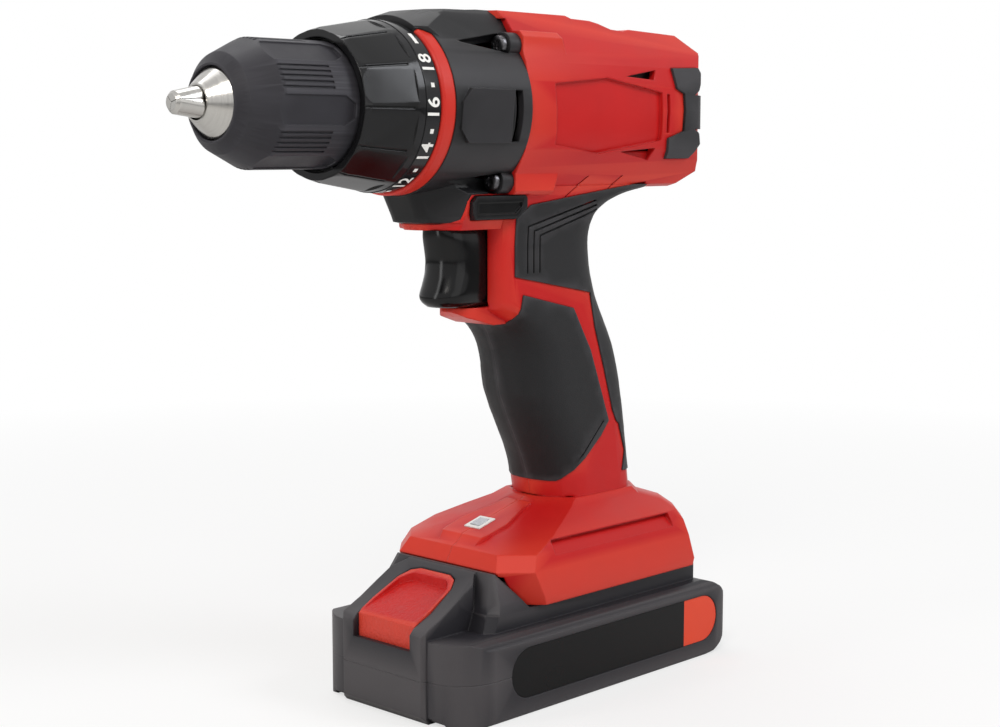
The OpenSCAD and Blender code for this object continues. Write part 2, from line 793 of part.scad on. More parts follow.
// Driver channels ahead of the cover screws, widening towards the heads
module driver_channels(reach) {
  at_cover_screws()
  rotate([0, 90, 0])
  translate([0, 0, boss_x0 - reach])
  cylinder(r1 = 0.4, r2 = boss_r + 0.2, h = reach);
}

module gear_cover() {
  inner_r = cover_r - wall - 0.1;
  panel_a = [-24, -6, 12];
  color("#1d1d20")
  difference() {
    union() {
      difference() {
        union() {
          on_axis(cover_x0, cover_x1, cover_r);
          // hood that rises towards the housing's hump
          intersection() {
            side_plate([[accent_x0, axis_z + 15], [accent_x0, axis_z + cover_r],
              [cover_x0 - 1.5, axis_z + cover_r + 1.6],
              [cover_x0 + 6, axis_z + cover_r + 2.2], [cover_x0 + 21, axis_z + cover_r + 2.6],
                [cover_x1 - 9, top_z],
              [cover_x1, top_z], [cover_x1, axis_z + 15]], -30, 30);
            translate([cover_x0 - 10, 0, axis_z])
            rotate([90, 0, 90])
            linear_extrude(60)
            polygon([[-23.5, 17], [-18, 25.5], [-14.4, 31], [-9.5, 35], [9.5, 35], [14.4, 31], [18, 25.5],
              [23.5, 17]]);
            translate([0, 0, axis_z])
            linear_extrude(60)
            polygon([[accent_x0, -15.5], [cover_x0, -18.5], [cover_x0 + 8, -23], [cover_x1, -24],
              [cover_x1, 24],
              [cover_x0 + 8, 23], [cover_x0, 18.5], [accent_x0, 15.5]]);
            turned([[accent_x0 - 1, 0], [cover_x1 + 1, 0], [cover_x1 + 1, cover_r + 12],
              [accent_x0 - 1, cover_r - 0.2]]);
          }
          nose_block();
        }
        nose_share();
        tongue_prism();
        on_axis(cover_x0 - 20, cover_x0, cover_r - 0.2);
        driver_channels(22);
      }
      // front lip of the hood, between the ends of the red ring
      intersection() {
        tube_on_axis(accent_x0, cover_x0 + 1, cover_r, case_out_r + 1);
        hood_wedge(0);
      }
      // bosses under the screw heads
      at_cover_screws()
      rotate([0, 90, 0])
      translate([0, 0, boss_x0])
      cylinder(r = boss_r, h = cover_x1 - boss_x0);
      // raised panel on each side
      for (s = [0, 180])
        about_axis(s + panel_a[1] * (s == 0 ? 1 : -1))
        translate([cover_x0, 0, cover_r - 2])
        linear_extrude(2.3)
        polygon([[2.5, -4.5], [6.5, -9], [cover_len - 9.5, -9], [cover_len - 9.5, 9], [6.5, 9], [2.5, 4.5]]);
    }
    slider_window();
    on_axis(cover_x0 + wall, cover_x1 + 1, inner_r);
    on_axis(cover_x0 - 1, cover_x1, case_out_r + 0.4);
    at_cover_screws() translate([boss_x0 - 1, 0, 0]) rotate([0, 90, 0]) cylinder(r = cover_screw_r, h = 30);
    // cooling slots
    for (s = [0, 180])
      about_axis(s + panel_a[1] * (s == 0 ? 1 : -1))
      translate([cover_x1 - 8, -8.6, cover_r - 6])
      cube([3.6, 17.2, 9]);
    // hollow of the chin
    translate([0, 0, nose_bottom + 5])
    linear_extrude(belly_z - nose_bottom - 5)
    polygon([[cover_x0 + 7, -6], [slider_x0 - 4, -9.5], [slider_x0 + 6, -9.5], [slider_x0 + 6, 9.5],
      [slider_x0 - 4, 9.5],
      [cover_x0 + 7, 6]]);
  }
}

// ---------- handle and foot ----------

// Height on the handle, given in per cent of the way from the foot up to the barrel
grip_z0 = foot_z + 28;
grip_z1 = belly_z + 1.5;
function hz(share) = grip_z0 + (grip_z1 - grip_z0) * share / 100;

// Handle stations: share of its height, front, rear, extra half-width, front corner radius
handle_rows = [for (w = [
    [0, 16, 61.4, 0, 14], [4.7, 15, 60.6, 0, 14], [8.1, 14.4, 60, 0, 14], [14, 12, 59.2, 0, 15],
      [24.3, 6, 57.4, 0, 15],
    [36.2, -0.5, 54.8, 0, 15], [48.9, -3.4, 50.6, 0, 15], [58.3, -9, 44.7, 0, 13], [62.6, -16, 41.9, 0, 10],
    [66, -17, 40, 0, 7], [73.6, -17, 37.2, 0, 7], [83, -17, 35.9, 0, 7], [88.9, -17, 37.4, 0.5, 7],
    [93.6, -16.6, 42.6, 1, 7], [97.4, -15.4, 54.5, 1.8, 7], [100, -15.4, 72, 3, 7]])
  [hz(w[0]), w[1], w[2], handle_w / 2 + w[3], w[4]]];
handle_levels = [for (share = [0, 4.7, 9.8, 15.7, 22.6, 29.4, 36.2, 43, 49.8, 55.7, 60, 63.4, 66, 73.6, 82.1,
  87.2,
    91.5, 94.9, 97.4, 100]) hz(share)];

// Handle grown by o, through the given heights
module handle(o, levels = handle_levels, n = 4) {
  loft([for (z = levels)
    [for (p = plan_ring(spline_at(handle_rows, z, 1) - o, spline_at(handle_rows, z, 2) + o,
      spline_at(handle_rows, z, 3) + o, spline_at(handle_rows, z, 4) + o, 14 + o, n))
      [p[0], p[1], z]]]);
}

foot_front = foot_z + 12.5;
foot_rear = foot_len - 17;

// Foot grown by o. Each row: height, front, half-width of the front edge, station where the full
// width starts, half-width, rear, cut corner at the rear
module foot(o) {
  half = foot_w / 2;
  rows = [
    [foot_z, -17, 28.5, -12, half - 0.7, foot_rear, 7],
    [foot_z + 3, -19.7, 27.5, -13.5, half, foot_rear, 7],
    [foot_front, -28, 24.6, -18.2, half - 0.3, foot_rear - 2.2, 8],
    [foot_z + 18, -25, 22, -15, half - 2.4, foot_rear - 2.8, 8],
    [foot_z + 22, -15.5, 17, -5, half - 4.8, foot_rear - 3.8, 9],
    [foot_z + 25.5, -2, 12.5, 6, half - 9.8, foot_rear - 6.4, 9],
    [foot_z + 28.5, 8.5, 9.5, 16, handle_w / 2 + 3, foot_rear - 14.4, 9],
    [foot_z + 31, 12.5, 6, 21, handle_w / 2 + 0.5, foot_rear - 16.4, 8]];
  loft([for (w = rows) let (z = w[0], y1 = w[2] + o, y2 = w[4] + o, c = w[6])
    [[w[5] + o, y2 - c, z], [w[5] + o - c, y2, z], [w[3], y2, z], [w[1] - o, y1, z],
      [w[1] - o, -y1, z], [w[3], -y2, z], [w[5] + o - c, -y2, z], [w[5] + o, c - y2, z]]]);
}

// Bump on the foot that carries the work light
module light_bump() {
  intersection() {
    side_plate([[-25, foot_z + 15], [-23.4, foot_z + 18.4], [-20.2, foot_z + 21.6], [-3, foot_z + 26.3],
      [9, foot_z + 29.6],
      [16, foot_z + 29], [16, foot_z + 15]], -12, 12);
    translate([0, 0, foot_z])
    linear_extrude(40)
    polygon([[-25, -8.6], [-18, -10.6], [-8, -11], [4, -7], [16, -5.5], [16, 5.5], [4, 7], [-8, 11],
      [-18, 10.6], [-25, 8.6]]);
  }
}

bay_top = foot_z + 11;
rail_half = 26;
rail_lip = 20;
rail_lip_z = foot_z + 2.7;
bay_rear = 70;

// Space that the battery's rail slides into
module battery_bay() {
  block([-30, -rail_half, rail_lip_z], [bay_rear, rail_half, bay_top]);
  block([-30, -rail_lip, foot_z - 1], [bay_rear, rail_lip, rail_lip_z + 1]);
}

// Outlines of the soft grips on the side of the handle, as [x, share of the handle's height]
upper_grip = [[-10.6, 73.2], [-10.6, 90.6], [-4, 94.5], [57, 100.8], [58.6, 96.4], [44, 86], [44, 70.2],
  [29.9, 66.7]];
front_grip = [[-22, 58.3], [-8.8, 58.8], [-6.5, 67.6], [20, 62.3], [29.5, 48.6], [35.4, 35.4], [40, 25.4],
  [35.5, 20.9],
  [24, 12.7], [17, 7.8], [6, 7.8], [-22, 22.6]];
rear_grip = [[29.9, 66.7], [31.7, 56.3], [37.5, 41.6], [42.3, 28.4], [44.7, 24.9], [46.5, 23.8], [50.6, 14.6],
  [48.7, 8.3], [70, 7.2], [70, 66.8], [50, 70.2], [44, 70.2]];

// Grip outline prism on the left side
module grip_prism(outline, y1 = 0) {
  side_plate([for (p = outline) [p[0], hz(p[1])]], -handle_w, y1);
}

module grip_prisms() {
  union() {
    grip_prism(upper_grip);
    grip_prism(front_grip);
    grip_prism(rear_grip);
  }
}

// Soft grip over one side of the handle, set into the housing
module grip(screw_holes) {
  groove = 0.7;
  groove_y = 0.2 - handle_w / 2;
  difference() {
    intersection() {
      handle(grip_proud);
      grip_prisms();
    }
    handle(grip_proud - grip_t);
    // three nested grooves on the upper part
    for (i = [0:2]) let (x = -5 + 3.2 * i, top = 88.3 - 1.4 * i)
      grip_prism([[x, 74], [x, top], [30 + i, top + 7.3], [31 + i, top + 6.8], [x + groove, top - 0.5],
        [x + groove, 74]],
        groove_y);
    // groove along the lower edge of the front part
    grip_prism([[37.2, 25.4], [18.5, 9.4], [0, 9.4], [0, 10], [18.2, 10], [36.6, 25.7]], groove_y);
    slider_window();
    if (screw_holes) at_housing_screws() cylinder(r = screw_head_r + 0.4, h = 2 * handle_w, center = true);
  }
}

module grip_left() {
  color("#232326") grip(false);
}

module grip_right() {
  color("#232326") mirror([0, 1, 0]) grip(true);
}

// ---------- housing halves ----------

boss_out_r = 3.4;
screw_r = 1.5;
screw_head_r = 2.9;
housing_screw_spots = [[28, axis_z + 25.6], [66, axis_z + 22], [68, axis_z - 22], [-1, belly_z - 3],
  [31, hz(75.3)],
  [8, hz(41.3)], [64, foot_z + 19], [4, foot_z + 18]];

module at_housing_screws() {
  for (p = housing_screw_spots) translate([p[0], 0, p[1]]) rotate([-90, 0, 0]) children();
}

// Everything inside the outer surface of the housing, before any hollow is cut
module housing_body() {
  barrel(0, cover_x1);
  difference() {
    intersection() {
      nose_block();
      nose_share();
    }
    on_axis(cover_x0 - 20, cover_x1, cover_r);
    at_cover_screws()
    rotate([0, 90, 0])
    translate([0, 0, boss_x0 - 10])
    cylinder(r = boss_r + 0.1, h = cover_x1 - boss_x0 + 10);
  }
  intersection() {
    tongue_prism();
    barrel(0, cover_x0);
  }
  handle(0);
  foot(0);
  light_bump();
  // lip under the trigger
  intersection() {
    translate([0, 0, trigger_bottom])
    side_plate([[-27.5, -1.9], [-24, -3.9], [-14, -6.8], [-8, -9.3], [4, -9.3], [4, 4.7], [-14, 4.7],
      [-14, -0.5],
      [-27, -0.5]], -14, 14);
    translate([0, 0, trigger_bottom - 15])
    linear_extrude(30)
    polygon(concat(arc2([-20, 0], 7.8, 110, 250, 8), [[4, -14], [4, 14]]));
  }
  // red bosses behind the cover's screws, with slanted ends
  mirror_both_sides()
  for (p = cover_screw_spots) let (r = boss_r + 0.7, end = p[1] > axis_z ? 2 : -2)
    translate([0, -p[0], p[1]])
    intersection() {
      side_plate([[cover_x1, -r], [cover_x1, r], [boss_x1 - end, r], [boss_x1 + end, -r]], -r, r);
      translate([cover_x1, 0, 0])
      rotate([90, 0, 90])
      linear_extrude(30)
      polygon([[-r, 1.5 - r], [-r, r - 2], [2 - r, r], [r, r], [r, -r], [1.5 - r, -r]]);
    }
}

module housing_hollow() {
  inner_r = cover_r - wall - 0.1;
  // barrel
  intersection() {
    barrel(-wall, cover_x1 - 1);
    block([cover_x1 - 1, -40, belly_z + 1], [barrel_rear, 40, flat_z - wall]);
  }
  on_axis(cover_x1 - 1, cover_x1 + 3, inner_r);
  // nose
  block([slider_x0 + 1, -nose_half + wall, nose_bottom + wall],
    [cover_x1 + 8, nose_half - wall, nose_bottom + 14.5]);
  // handle
  handle(-wall, [for (share = [0.4, 14, 36.2, 48.9, 58.3, 65.1, 86.4, 94.9, 100]) hz(share)], 1);
  block([-10, -14, belly_z - 2], [52, 14, belly_z + 3]);
  // foot above the bay
  intersection() {
    foot(-wall);
    block([-40, -40, bay_top + wall], [90, 40, foot_z + 33]);
  }
  block([21, -13, foot_z + 25], [56, 13, foot_z + 33]);
}

// Shallow panel on each side of the barrel, its floor following the surface
module side_panels() {
  outline = [[-2, 8.4], [26.2, 11], [56.4, 6.5], [56.8, -10.9], [23, -15.6], [-0.8, -12.6]];
  difference() {
    translate([0, 0, axis_z]) side_plate(outline, -40, 40);
    barrel(-1.4, cover_x1 - 2);
  }
}

// Slanting grooves under the barrel
module belly_grooves() {
  groove = [[0, -2.7], [9.6, 4.9], [10.4, 4.9], [0.9, -2.7]];
  difference() {
    for (x = [13, 32]) translate([x, 0, belly_z]) side_plate(groove, -40, 40);
    barrel(-0.5, cover_x1 - 2);
    handle(-0.5);
  }
}

// Channel along the slope of the foot, under a ridge
module foot_channels() {
  mirror_both_sides()
  translate([-6, 0, foot_z])
  rotate([90, 0, 90])
  linear_extrude(66)
  polygon([[-foot_w, 16.6], [2 - foot_w / 2, 16.6], [6.3 - foot_w / 2, 20.6], [5.9 - foot_w / 2, 21.5],
    [-foot_w, 21.5]]);
}

// Slots that let cooling air into the rear of the barrel
module air_vents() {
  mirror_both_sides() translate([0, 0, axis_z]) {
    side_plate([[36.5, 11.9], [53.5, 14.6], [51.8, 11]], -40, -barrel_half + 4);
    side_plate([[34.5, -15], [52.5, -18], [54, -13.7]], -40, -barrel_half + 5);
    side_plate([[59.2, 6], [60.8, 6], [60.8, -8], [59.2, -8]], -40, -barrel_half + 4);
  }
  for (y = [-9:6:9]) block([barrel_rear - 4, y - 1.2, axis_z - 15], [barrel_rear + 2, y + 1.2, axis_z - 8]);
  for (y = [-9:6:9]) block([barrel_rear - 4, y - 1.2, axis_z + 8], [barrel_rear + 2, y + 1.2, axis_z + 15]);
}

// Rubber bumper: a pad on each side of the barrel's rear corners.
// Its outline is [from the rear, above the axis]
bumper_t = 2;
bumper_outline = [[-25, 15.6], [-23.3, 8.2], [-18.9, 6.4], [-18.6, 1], [-18.9, -7.4], [-27.5, -10.2],
  [-26, -17.6],
  [-12.5, -17.6], [-8, -12], [-9.1, -8.4], [-12.9, -6.6], [3, -6.5], [3, 5.5], [-12.9, 6], [-9.5, 8],
    [-6.7, 12], [-9.5, 16.2]];
module bumper_shape(o0, o1) {
  difference() {
    intersection() {
      barrel(o1, cover_x1);
      translate([barrel_rear, 0, axis_z]) side_plate(bumper_outline, -40, 40);
    }
    barrel(o0, cover_x1 - 1);
    block([barrel_rear - 33, -15, axis_z - 24], [barrel_rear - 7, 15, axis_z + 22]);
  }
}

module rear_bumper() {
  color("#2a2a2d") bumper_shape(1 - bumper_t, 1);
}

// What stands inside the hollow: screw posts, rings round the motor and a shelf over the switch
module housing_supports() {
  at_housing_screws() cylinder(r = boss_out_r, h = 80, center = true);
  at_cover_screws()
  rotate([0, 90, 0])
  translate([0, 0, cover_x1 - 2])
  cylinder(r = boss_r + 0.7, h = boss_x1 - cover_x1 + 2);
  difference() {
    for (x = [4, 36]) block([x, -40, belly_z], [x + 1.8, 40, top_z]);
    on_axis(0, 60, motor_r + 0.4);
    block([0, -3, axis_z + motor_r], [20, 3, top_z]);
    block([0, -12, belly_z - 1], [60, 12, axis_z - motor_r + 2]);
  }
  difference() {
    block([-19, -20, switch_z0 - 2.5], [42, 20, switch_z0 - 1]);
    block([9, -7, switch_z0 - 3], [26, 7, switch_z0]);
  }
}

module housing_shell() {
  difference() {
    housing_body();
    difference() {
      housing_hollow();
      housing_supports();
    }
  }
}

// Everything that is cut from the shell
module housing_cuts() {
  battery_bay();
  side_panels();
  belly_grooves();
  foot_channels();
  air_vents();
  bumper_shape(1 - bumper_t, 3);
  // pockets for the soft grips
  difference() {
    mirror_both_sides() grip_prisms();
    handle(grip_proud - grip_t);
  }
  // bores for the cover's screws
  at_cover_screws()
  rotate([0, 90, 0])
  translate([0, 0, cover_x1 - 1])
  cylinder(r = cover_screw_r, h = cover_screw_len - 3.5);
  on_axis(cover_x1 - 1, motor_x0 + motor_len + 1, motor_r + run_fit);
  on_axis(cover_x1 - 1, motor_x0 + 0.1, case_out_r + 0.4);
  selector_window();
  shift_wire_room();
  slider_window();
  trigger_mouth();
  led_window();
  terminal_opening();
  at_housing_screws() {
    translate([0, 0, -14]) cylinder(r = screw_r, h = 24);
    translate([0, 0, 9]) cylinder(r = screw_head_r + 0.2, h = 80);
  }
}

module housing() {
  difference() {
    housing_shell();
    housing_cuts();
  }
}

module housing_left() {
  color(red)
  intersection() {
    housing();
    block([-80, -60, 20], [120, 0, 260]);
  }
}

module housing_right() {
  color(red)
  intersection() {
    housing();
    block([-80, 0, 20], [120, 60, 260]);
  }
}

module housing_screws() {
  color("#3a3a3c")
  at_housing_screws()
  difference() {
    union() {
      translate([0, 0, -8]) cylinder(r = screw_r, h = 17);
      translate([0, 0, 9]) cylinder(r = screw_head_r, h = 2.2);
    }
    translate([0, 0, 10]) cylinder(r = 1.4, h = 2, $fn = 6);
  }
}

// ---------- controls ----------

trigger_top = nose_bottom - slide_gap;
trigger_bottom = nose_bottom - 27.2;
trigger_half = trigger_w / 2;
stem_z = trigger_bottom + 14.7;
stem_r = 2.5;

// Front of the trigger at a few heights, and its half-width there
trigger_rows = [for (w = [[0, -34.9, -1.9], [1.2, -36.2, -0.7], [3.3, -36.6, 0], [7.2, -35, 0],
  [11.7, -33.5, 0],
    [16.2, -33.1, 0], [20.7, -34, 0], [24.5, -34.7, 0], [trigger_top - trigger_bottom, -34.9, -0.6]])
  [trigger_bottom + w[0], w[1], trigger_half + w[2]]];

module trigger() {
  color("#101012")
  difference() {
    union() {
      loft([for (w = trigger_rows) [for (p = plan_ring(w[1], -9.5, w[2], 6.8, 0.5, 5)) [p[0], p[1], w[0]]]]);
      along_x(-12, 5, 0, stem_z, stem_r);
    }
    // hollow behind the finger surface
    block([-24, 2 - trigger_half, trigger_bottom + 2], [-9, trigger_half - 2, stem_z - 5]);
    block([-24, 2 - trigger_half, stem_z + 4.5], [-9, trigger_half - 2, trigger_top - 2]);
  }
}

module trigger_mouth() {
  block([-30, -trigger_half - slide_gap, trigger_bottom - slide_gap],
    [trigger_travel - 9.1, trigger_half + slide_gap, nose_bottom]);
}

switch_x0 = -2.4;
switch_x1 = 26.5;
switch_z0 = trigger_bottom - 2.3;
switch_z1 = switch_z0 + 30;

module switch_module() {
  color("#3b3f45")
  difference() {
    union() {
      block([switch_x0, -10, switch_z0], [switch_x1, 10, switch_z1]);
      block([switch_x0 + 3, -8.5, switch_z1], [switch_x0 + 15, 8.5, switch_z1 + 3]);
    }
    along_x(switch_x0 - 1, 12.5, 0, stem_z, stem_r + run_fit);
    block([switch_x0 + 14, -11, switch_z0 + 2.5], [switch_x1 - 3, -9.2, switch_z1 - 3]);
  }
  // heat sink
  color("#b9b9bb")
  for (x = [13:3:22]) block([x, -12.2, switch_z0 + 4], [x + 1.2, -9.2, switch_z1 - 4]);
}

slider_lug_y = 14.5;

// Outline of the slider's ends, grown by g
function slider_outline(g) = [[slider_x0 - g, slider_z0 + 2], [slider_x0 + 1, slider_z0 - g],
  [slider_x1 - 4.5, slider_z0 - g],
  [slider_x1 + g, slider_z0 + 3.8], [slider_x1 + g, slider_z1 - 1 + g], [slider_x1 - 1, slider_z1 + g],
  [slider_x0 + 2, slider_z1 + g], [slider_x0 - g, slider_z1 - 2 + g]];

module direction_slider() {
  cap_half = nose_half + 1.6;
  color("#141416")
  difference() {
    union() {
      mirror_both_sides() side_plate(slider_outline(0), -cap_half, -slider_lug_y);
      block([slider_x0 + 5, -slider_lug_y, slider_z0 + 0.6], [slider_x1 - 4.5, slider_lug_y,
        slider_z1 - 1.6]);
    }
    // raised rim around each end
    mirror_both_sides()
    side_plate([[slider_x0 + 2.5, slider_z0 + 1.8], [slider_x1 - 6, slider_z0 + 1.8],
      [slider_x1 - 2.6, slider_z0 + 4.4],
      [slider_x1 - 2.6, slider_z1 - 2.4], [slider_x0 + 2.5, slider_z1 - 2.4]], -cap_half - 1,
        -cap_half + 0.7);
  }
}

module slider_window() {
  side_plate(slider_outline(slide_gap), -30, 30);
}

knob_x0 = -13;
knob_x1 = 4.6;
knob_half = 7;
knob_z0 = top_z - 3.2;

module speed_selector() {
  color("#1c1c1e") {
    difference() {
      block([knob_x0, -knob_half, knob_z0], [knob_x1, knob_half, top_z + 0.3]);
      for (x = [knob_x0 + 2.6:2.6:knob_x1 - 2]) block([x, -knob_half - 1, top_z - 0.5],
        [x + 1, knob_half + 1, top_z + 1]);
    }
    block([knob_x0 + 9, -1.8, axis_z + 23], [knob_x0 + 14, 1.8, knob_z0]);
  }
}

module selector_window() {
  block([knob_x0 - slide_gap, -knob_half - slide_gap, knob_z0 - slide_gap],
    [knob_x1 + shift_travel + slide_gap + 0.1, knob_half + slide_gap, top_z + 5]);
  block([knob_x0 + 8.4, -2.2, axis_z + 20], [knob_x0 + 14.5 + shift_travel, 2.2, top_z]);
}

// Spring wire that straddles the gear case and moves the shift ring
module shift_wire() {
  wire_r = 0.9;
  arc_r = case_out_r + 1.7;
  x = carrier1_x0 - 2.6;
  color(steel) {
    translate([x, 0, axis_z])
    rotate([0, 90, 0])
    rotate([0, 0, 90])
    rotate_extrude(angle = 180)
    translate([arc_r, 0])
    circle(r = wire_r);
    for (s = [-1, 1])
      translate([x, s * (ring_out_r - 0.6), axis_z])
      rotate([-90 * s, 0, 0])
      cylinder(r = wire_r, h = arc_r - ring_out_r + 0.6);
    block([x - 0.9, -1.5, axis_z + arc_r - 0.9], [knob_x0 + 9, 1.5, axis_z + arc_r + 0.9]);
  }
}

// Room in the housing for the shift wire over its travel
module shift_wire_room() {
  room_r = case_out_r + 1.7 + 1.3;
  tube_on_axis(carrier1_x0 - 4.2, carrier1_x0 - 1.2 + shift_travel, room_r, case_out_r + 0.2);
  block([carrier1_x0 - 4.2, -1.9, axis_z + case_out_r], [knob_x0 + 9.5 + shift_travel, 1.9, axis_z + room_r]);
}

// ---------- motor ----------

motor_x1 = motor_x0 + motor_len;
magnet_r = motor_r - 4.8;
armature_r = magnet_r - 0.6;
commutator_r = 6;

module motor_plate() {
  color("#58585c")
  difference() {
    on_axis(plate_x0, motor_x0, case_out_r);
    on_axis(plate_x0 - 1, motor_x0 + 1, sun_teeth * gear_m / 2 + 1.6);
  }
}

module motor_can() {
  color("#8f9296")
  difference() {
    union() {
      turned([[motor_x0, 6], [motor_x1, 6], [motor_x1, motor_r], [motor_x0, motor_r]]);
    }
    on_axis(motor_x0 + 1.6, motor_x1 + 1, motor_r - 1.6);
    for (a = [45:90:315])
      about_axis(a)
      translate([motor_x0 + 4, -4, motor_r - 3])
      cube([6, 8, 6]);
  }
  // two curved magnets
  color("#2f2f33")
  intersection() {
    tube_on_axis(motor_x0 + 8, motor_x1 - 14, motor_r - 1.6, magnet_r);
    for (s = [0, 180]) about_axis(s) translate([0, -13, 0]) cube([80, 26, 30]);
  }
}

module rotor() {
  stack_x0 = motor_x0 + 12;
  stack_x1 = motor_x1 - 18;
  color(steel) {
    on_axis(planet1_x0 + 0.2, motor_x1 + 8, shaft_r);
    difference() {
      on_axis(stack_x0, stack_x1, armature_r);
      for (a = [0:60:300]) about_axis(a) translate([stack_x0 - 1, -1.2, armature_r - 6]) cube([60, 2.4, 8]);
    }
  }
  color("#a8602f") {
    on_axis(stack_x0 - 4, stack_x0, armature_r - 2.5);
    on_axis(stack_x1, stack_x1 + 5, armature_r - 2.5);
  }
  color(brass) on_axis(stack_x1 + 5, motor_x1 - 1, commutator_r);
  // cooling fan
  color("#2f2f33") {
    on_axis(motor_x0 + 3, motor_x0 + 4.4, armature_r);
    for (a = [0:45:315]) about_axis(a) translate([motor_x0 + 4.2, -0.6, 6]) cube([3.4, 1.2, armature_r - 7]);
  }
}

module brush_cap() {
  cap_len = 8;
  color("#26262a")
  difference() {
    union() {
      on_axis(motor_x1, motor_x1 + cap_len - 2, motor_r - 0.2);
      on_axis(motor_x1, motor_x1 + cap_len, 6);
      for (s = [-1, 1]) block([motor_x1 + 1, s * 12 - 3, axis_z - 16],
        [motor_x1 + cap_len + 1, s * 12 + 3, axis_z - 8]);
    }
    on_axis(motor_x1 - 1, motor_x1 + 20, shaft_r + run_fit);
    on_axis(motor_x1 - 1, motor_x1 + 2, commutator_r + 2);
  }
  // carbon brushes in their holders
  color("#8a6d3a")
  for (s = [0, 180])
    about_axis(s)
    translate([motor_x1 - 9, -2.5, commutator_r + 0.35])
    cube([9, 5, 8]);
}

// ---------- light, terminals and wiring ----------

light_x = -11;
light_z = foot_z + 24.1;
light_tilt = atan(4.4 / 16);

module at_light() {
  translate([light_x, 0, light_z]) rotate([0, -light_tilt, 0]) children();
}

module led_module() {
  color("#e8e8e6")
  at_light()
  union() {
    difference() {
      translate([-4.3, -3.8, -4]) cube([8.6, 7.6, 4.4]);
      translate([-2.8, -2.4, -0.1]) cube([5.6, 4.8, 2]);
    }
    translate([-2.3, -1.9, -0.6]) cube([4.6, 3.8, 0.8]);
  }
}

module led_window() {
  at_light() translate([-4.4, -3.9, -6]) cube([8.8, 7.8, 12]);
}

terminal_x0 = 34;
terminal_x1 = 55;
terminal_half = 16;
blade_spots = [-12, -4, 4, 12];
blade_t = 0.8;

module terminal_block() {
  color("#26262a")
  block([terminal_x0, -terminal_half, bay_top - 1.6], [terminal_x1, terminal_half, bay_top + 7]);
  color(brass)
  for (y = blade_spots) block([terminal_x0 + 2, y - blade_t / 2, bay_top - 7],
    [terminal_x1 - 1, y + blade_t / 2, bay_top - 1]);
}

module terminal_opening() {
  block([terminal_x0 - 0.2, -terminal_half - 0.2, bay_top - 1],
    [terminal_x1 + 0.2, terminal_half + 0.2, bay_top + 8]);
}

// Straight rod between two points, a little longer than their distance so that rods join
module rod(a, b, r) {
  v = b - a;
  translate(a)
  rotate([0, acos(v[2] / norm(v)), atan2(v[1], v[0])])
  translate([0, 0, -r / 2])
  cylinder(r = r, h = norm(v) + r, $fn = 10);
}

module wire(points, r = 1.3) {
  for (i = [0:len(points) - 2]) rod(points[i], points[i + 1], r);
}

module wire_harness() {
  color("#a01418") {
    wire([[46, -4, bay_top + 8.2], [42, -4, hz(7.2)], [30, -4, hz(34.5)], [20, -4, hz(53.2)],
      [16, -4, switch_z0 - 1.2]]);
    wire([[24, -4, switch_z1 + 1.3], [26, -5, switch_z1 + 6], [38, -9, axis_z - 27],
      [motor_x1 + 4.5, -12, axis_z - 18.2]]);
  }
  color("#1b1b1d") {
    wire([[46, 4, bay_top + 8.2], [42, 4, hz(7.2)], [30, 4, hz(34.5)], [20, 4, hz(53.2)],
      [16, 4, switch_z0 - 1.2]]);
    wire([[24, 4, switch_z1 + 1.3], [26, 5, switch_z1 + 6], [38, 9, axis_z - 27],
      [motor_x1 + 4.5, 12, axis_z - 18.2]]);
    wire([[light_x + 2, 0, light_z - 5], [4, 0, foot_z + 24], [24, 0, foot_z + 32.5], [28, 0, hz(34.5)],
      [18, 0, hz(53.2)],
      [14, 0, switch_z0 - 1.2]], 0.9);
  }
}

// ---------- battery ----------

battery_w = cell_len + 2 * (battery_wall + cell_end_room);
case_seam = 15;
pill_r = battery_h / 2;
tier_half = 31;
tier_top = foot_z - 0.4;
stem_half = rail_lip - 0.5;
flange_half = rail_half - 0.5;
flange_z0 = rail_lip_z + 0.4;
flange_z1 = bay_top - 2.2;
tower_x1 = bay_rear - 1.5;
neck_top = foot_front - 0.3;

// Slab of the battery, a pill seen from the side, grown by o
module battery_slab(o) {
  half = battery_w / 2 + o;
  front = -battery_front + 1.8;
  corner = 16;
  intersection() {
    union() {
      side_plate([[front - o, 2.6], [front + 2.6, -o], [battery_rear - pill_r, -o],
        [battery_rear - pill_r, battery_h + o],
        [front - o, battery_h + o]], -half, half);
      along_y(-half, half, battery_rear - pill_r, pill_r, pill_r + o);
    }
    translate([-100, 0, 0])
    rotate([90, 0, 90])
    linear_extrude(200)
    polygon([[-half + 1, -o], [half - 1, -o], [half, 1], [half, battery_h - 3], [half - 0.7, battery_h - 2.3],
      [half - 0.9, battery_h - 1.2], [half - 3.2, battery_h + o], [-half + 3.2, battery_h + o],
        [-half + 0.9, battery_h - 1.2],
      [-half + 0.7, battery_h - 2.3], [-half, battery_h - 3], [-half, 1]]);
    translate([0, 0, -5])
    linear_extrude(battery_h + 10)
    polygon(concat(arc2([front + corner - o, corner - half], corner, 180, 270, 8),
      arc2([battery_rear - 5 + o, 5 - half], 5, -90, 0, 4),
      arc2([battery_rear - 5 + o, half - 5], 5, 0, 90, 4), arc2([front + corner - o, half - corner], corner,
        90, 180, 8)));
  }
}

ramp_front_z = battery_h + 1.4;
ramp_half = 21;

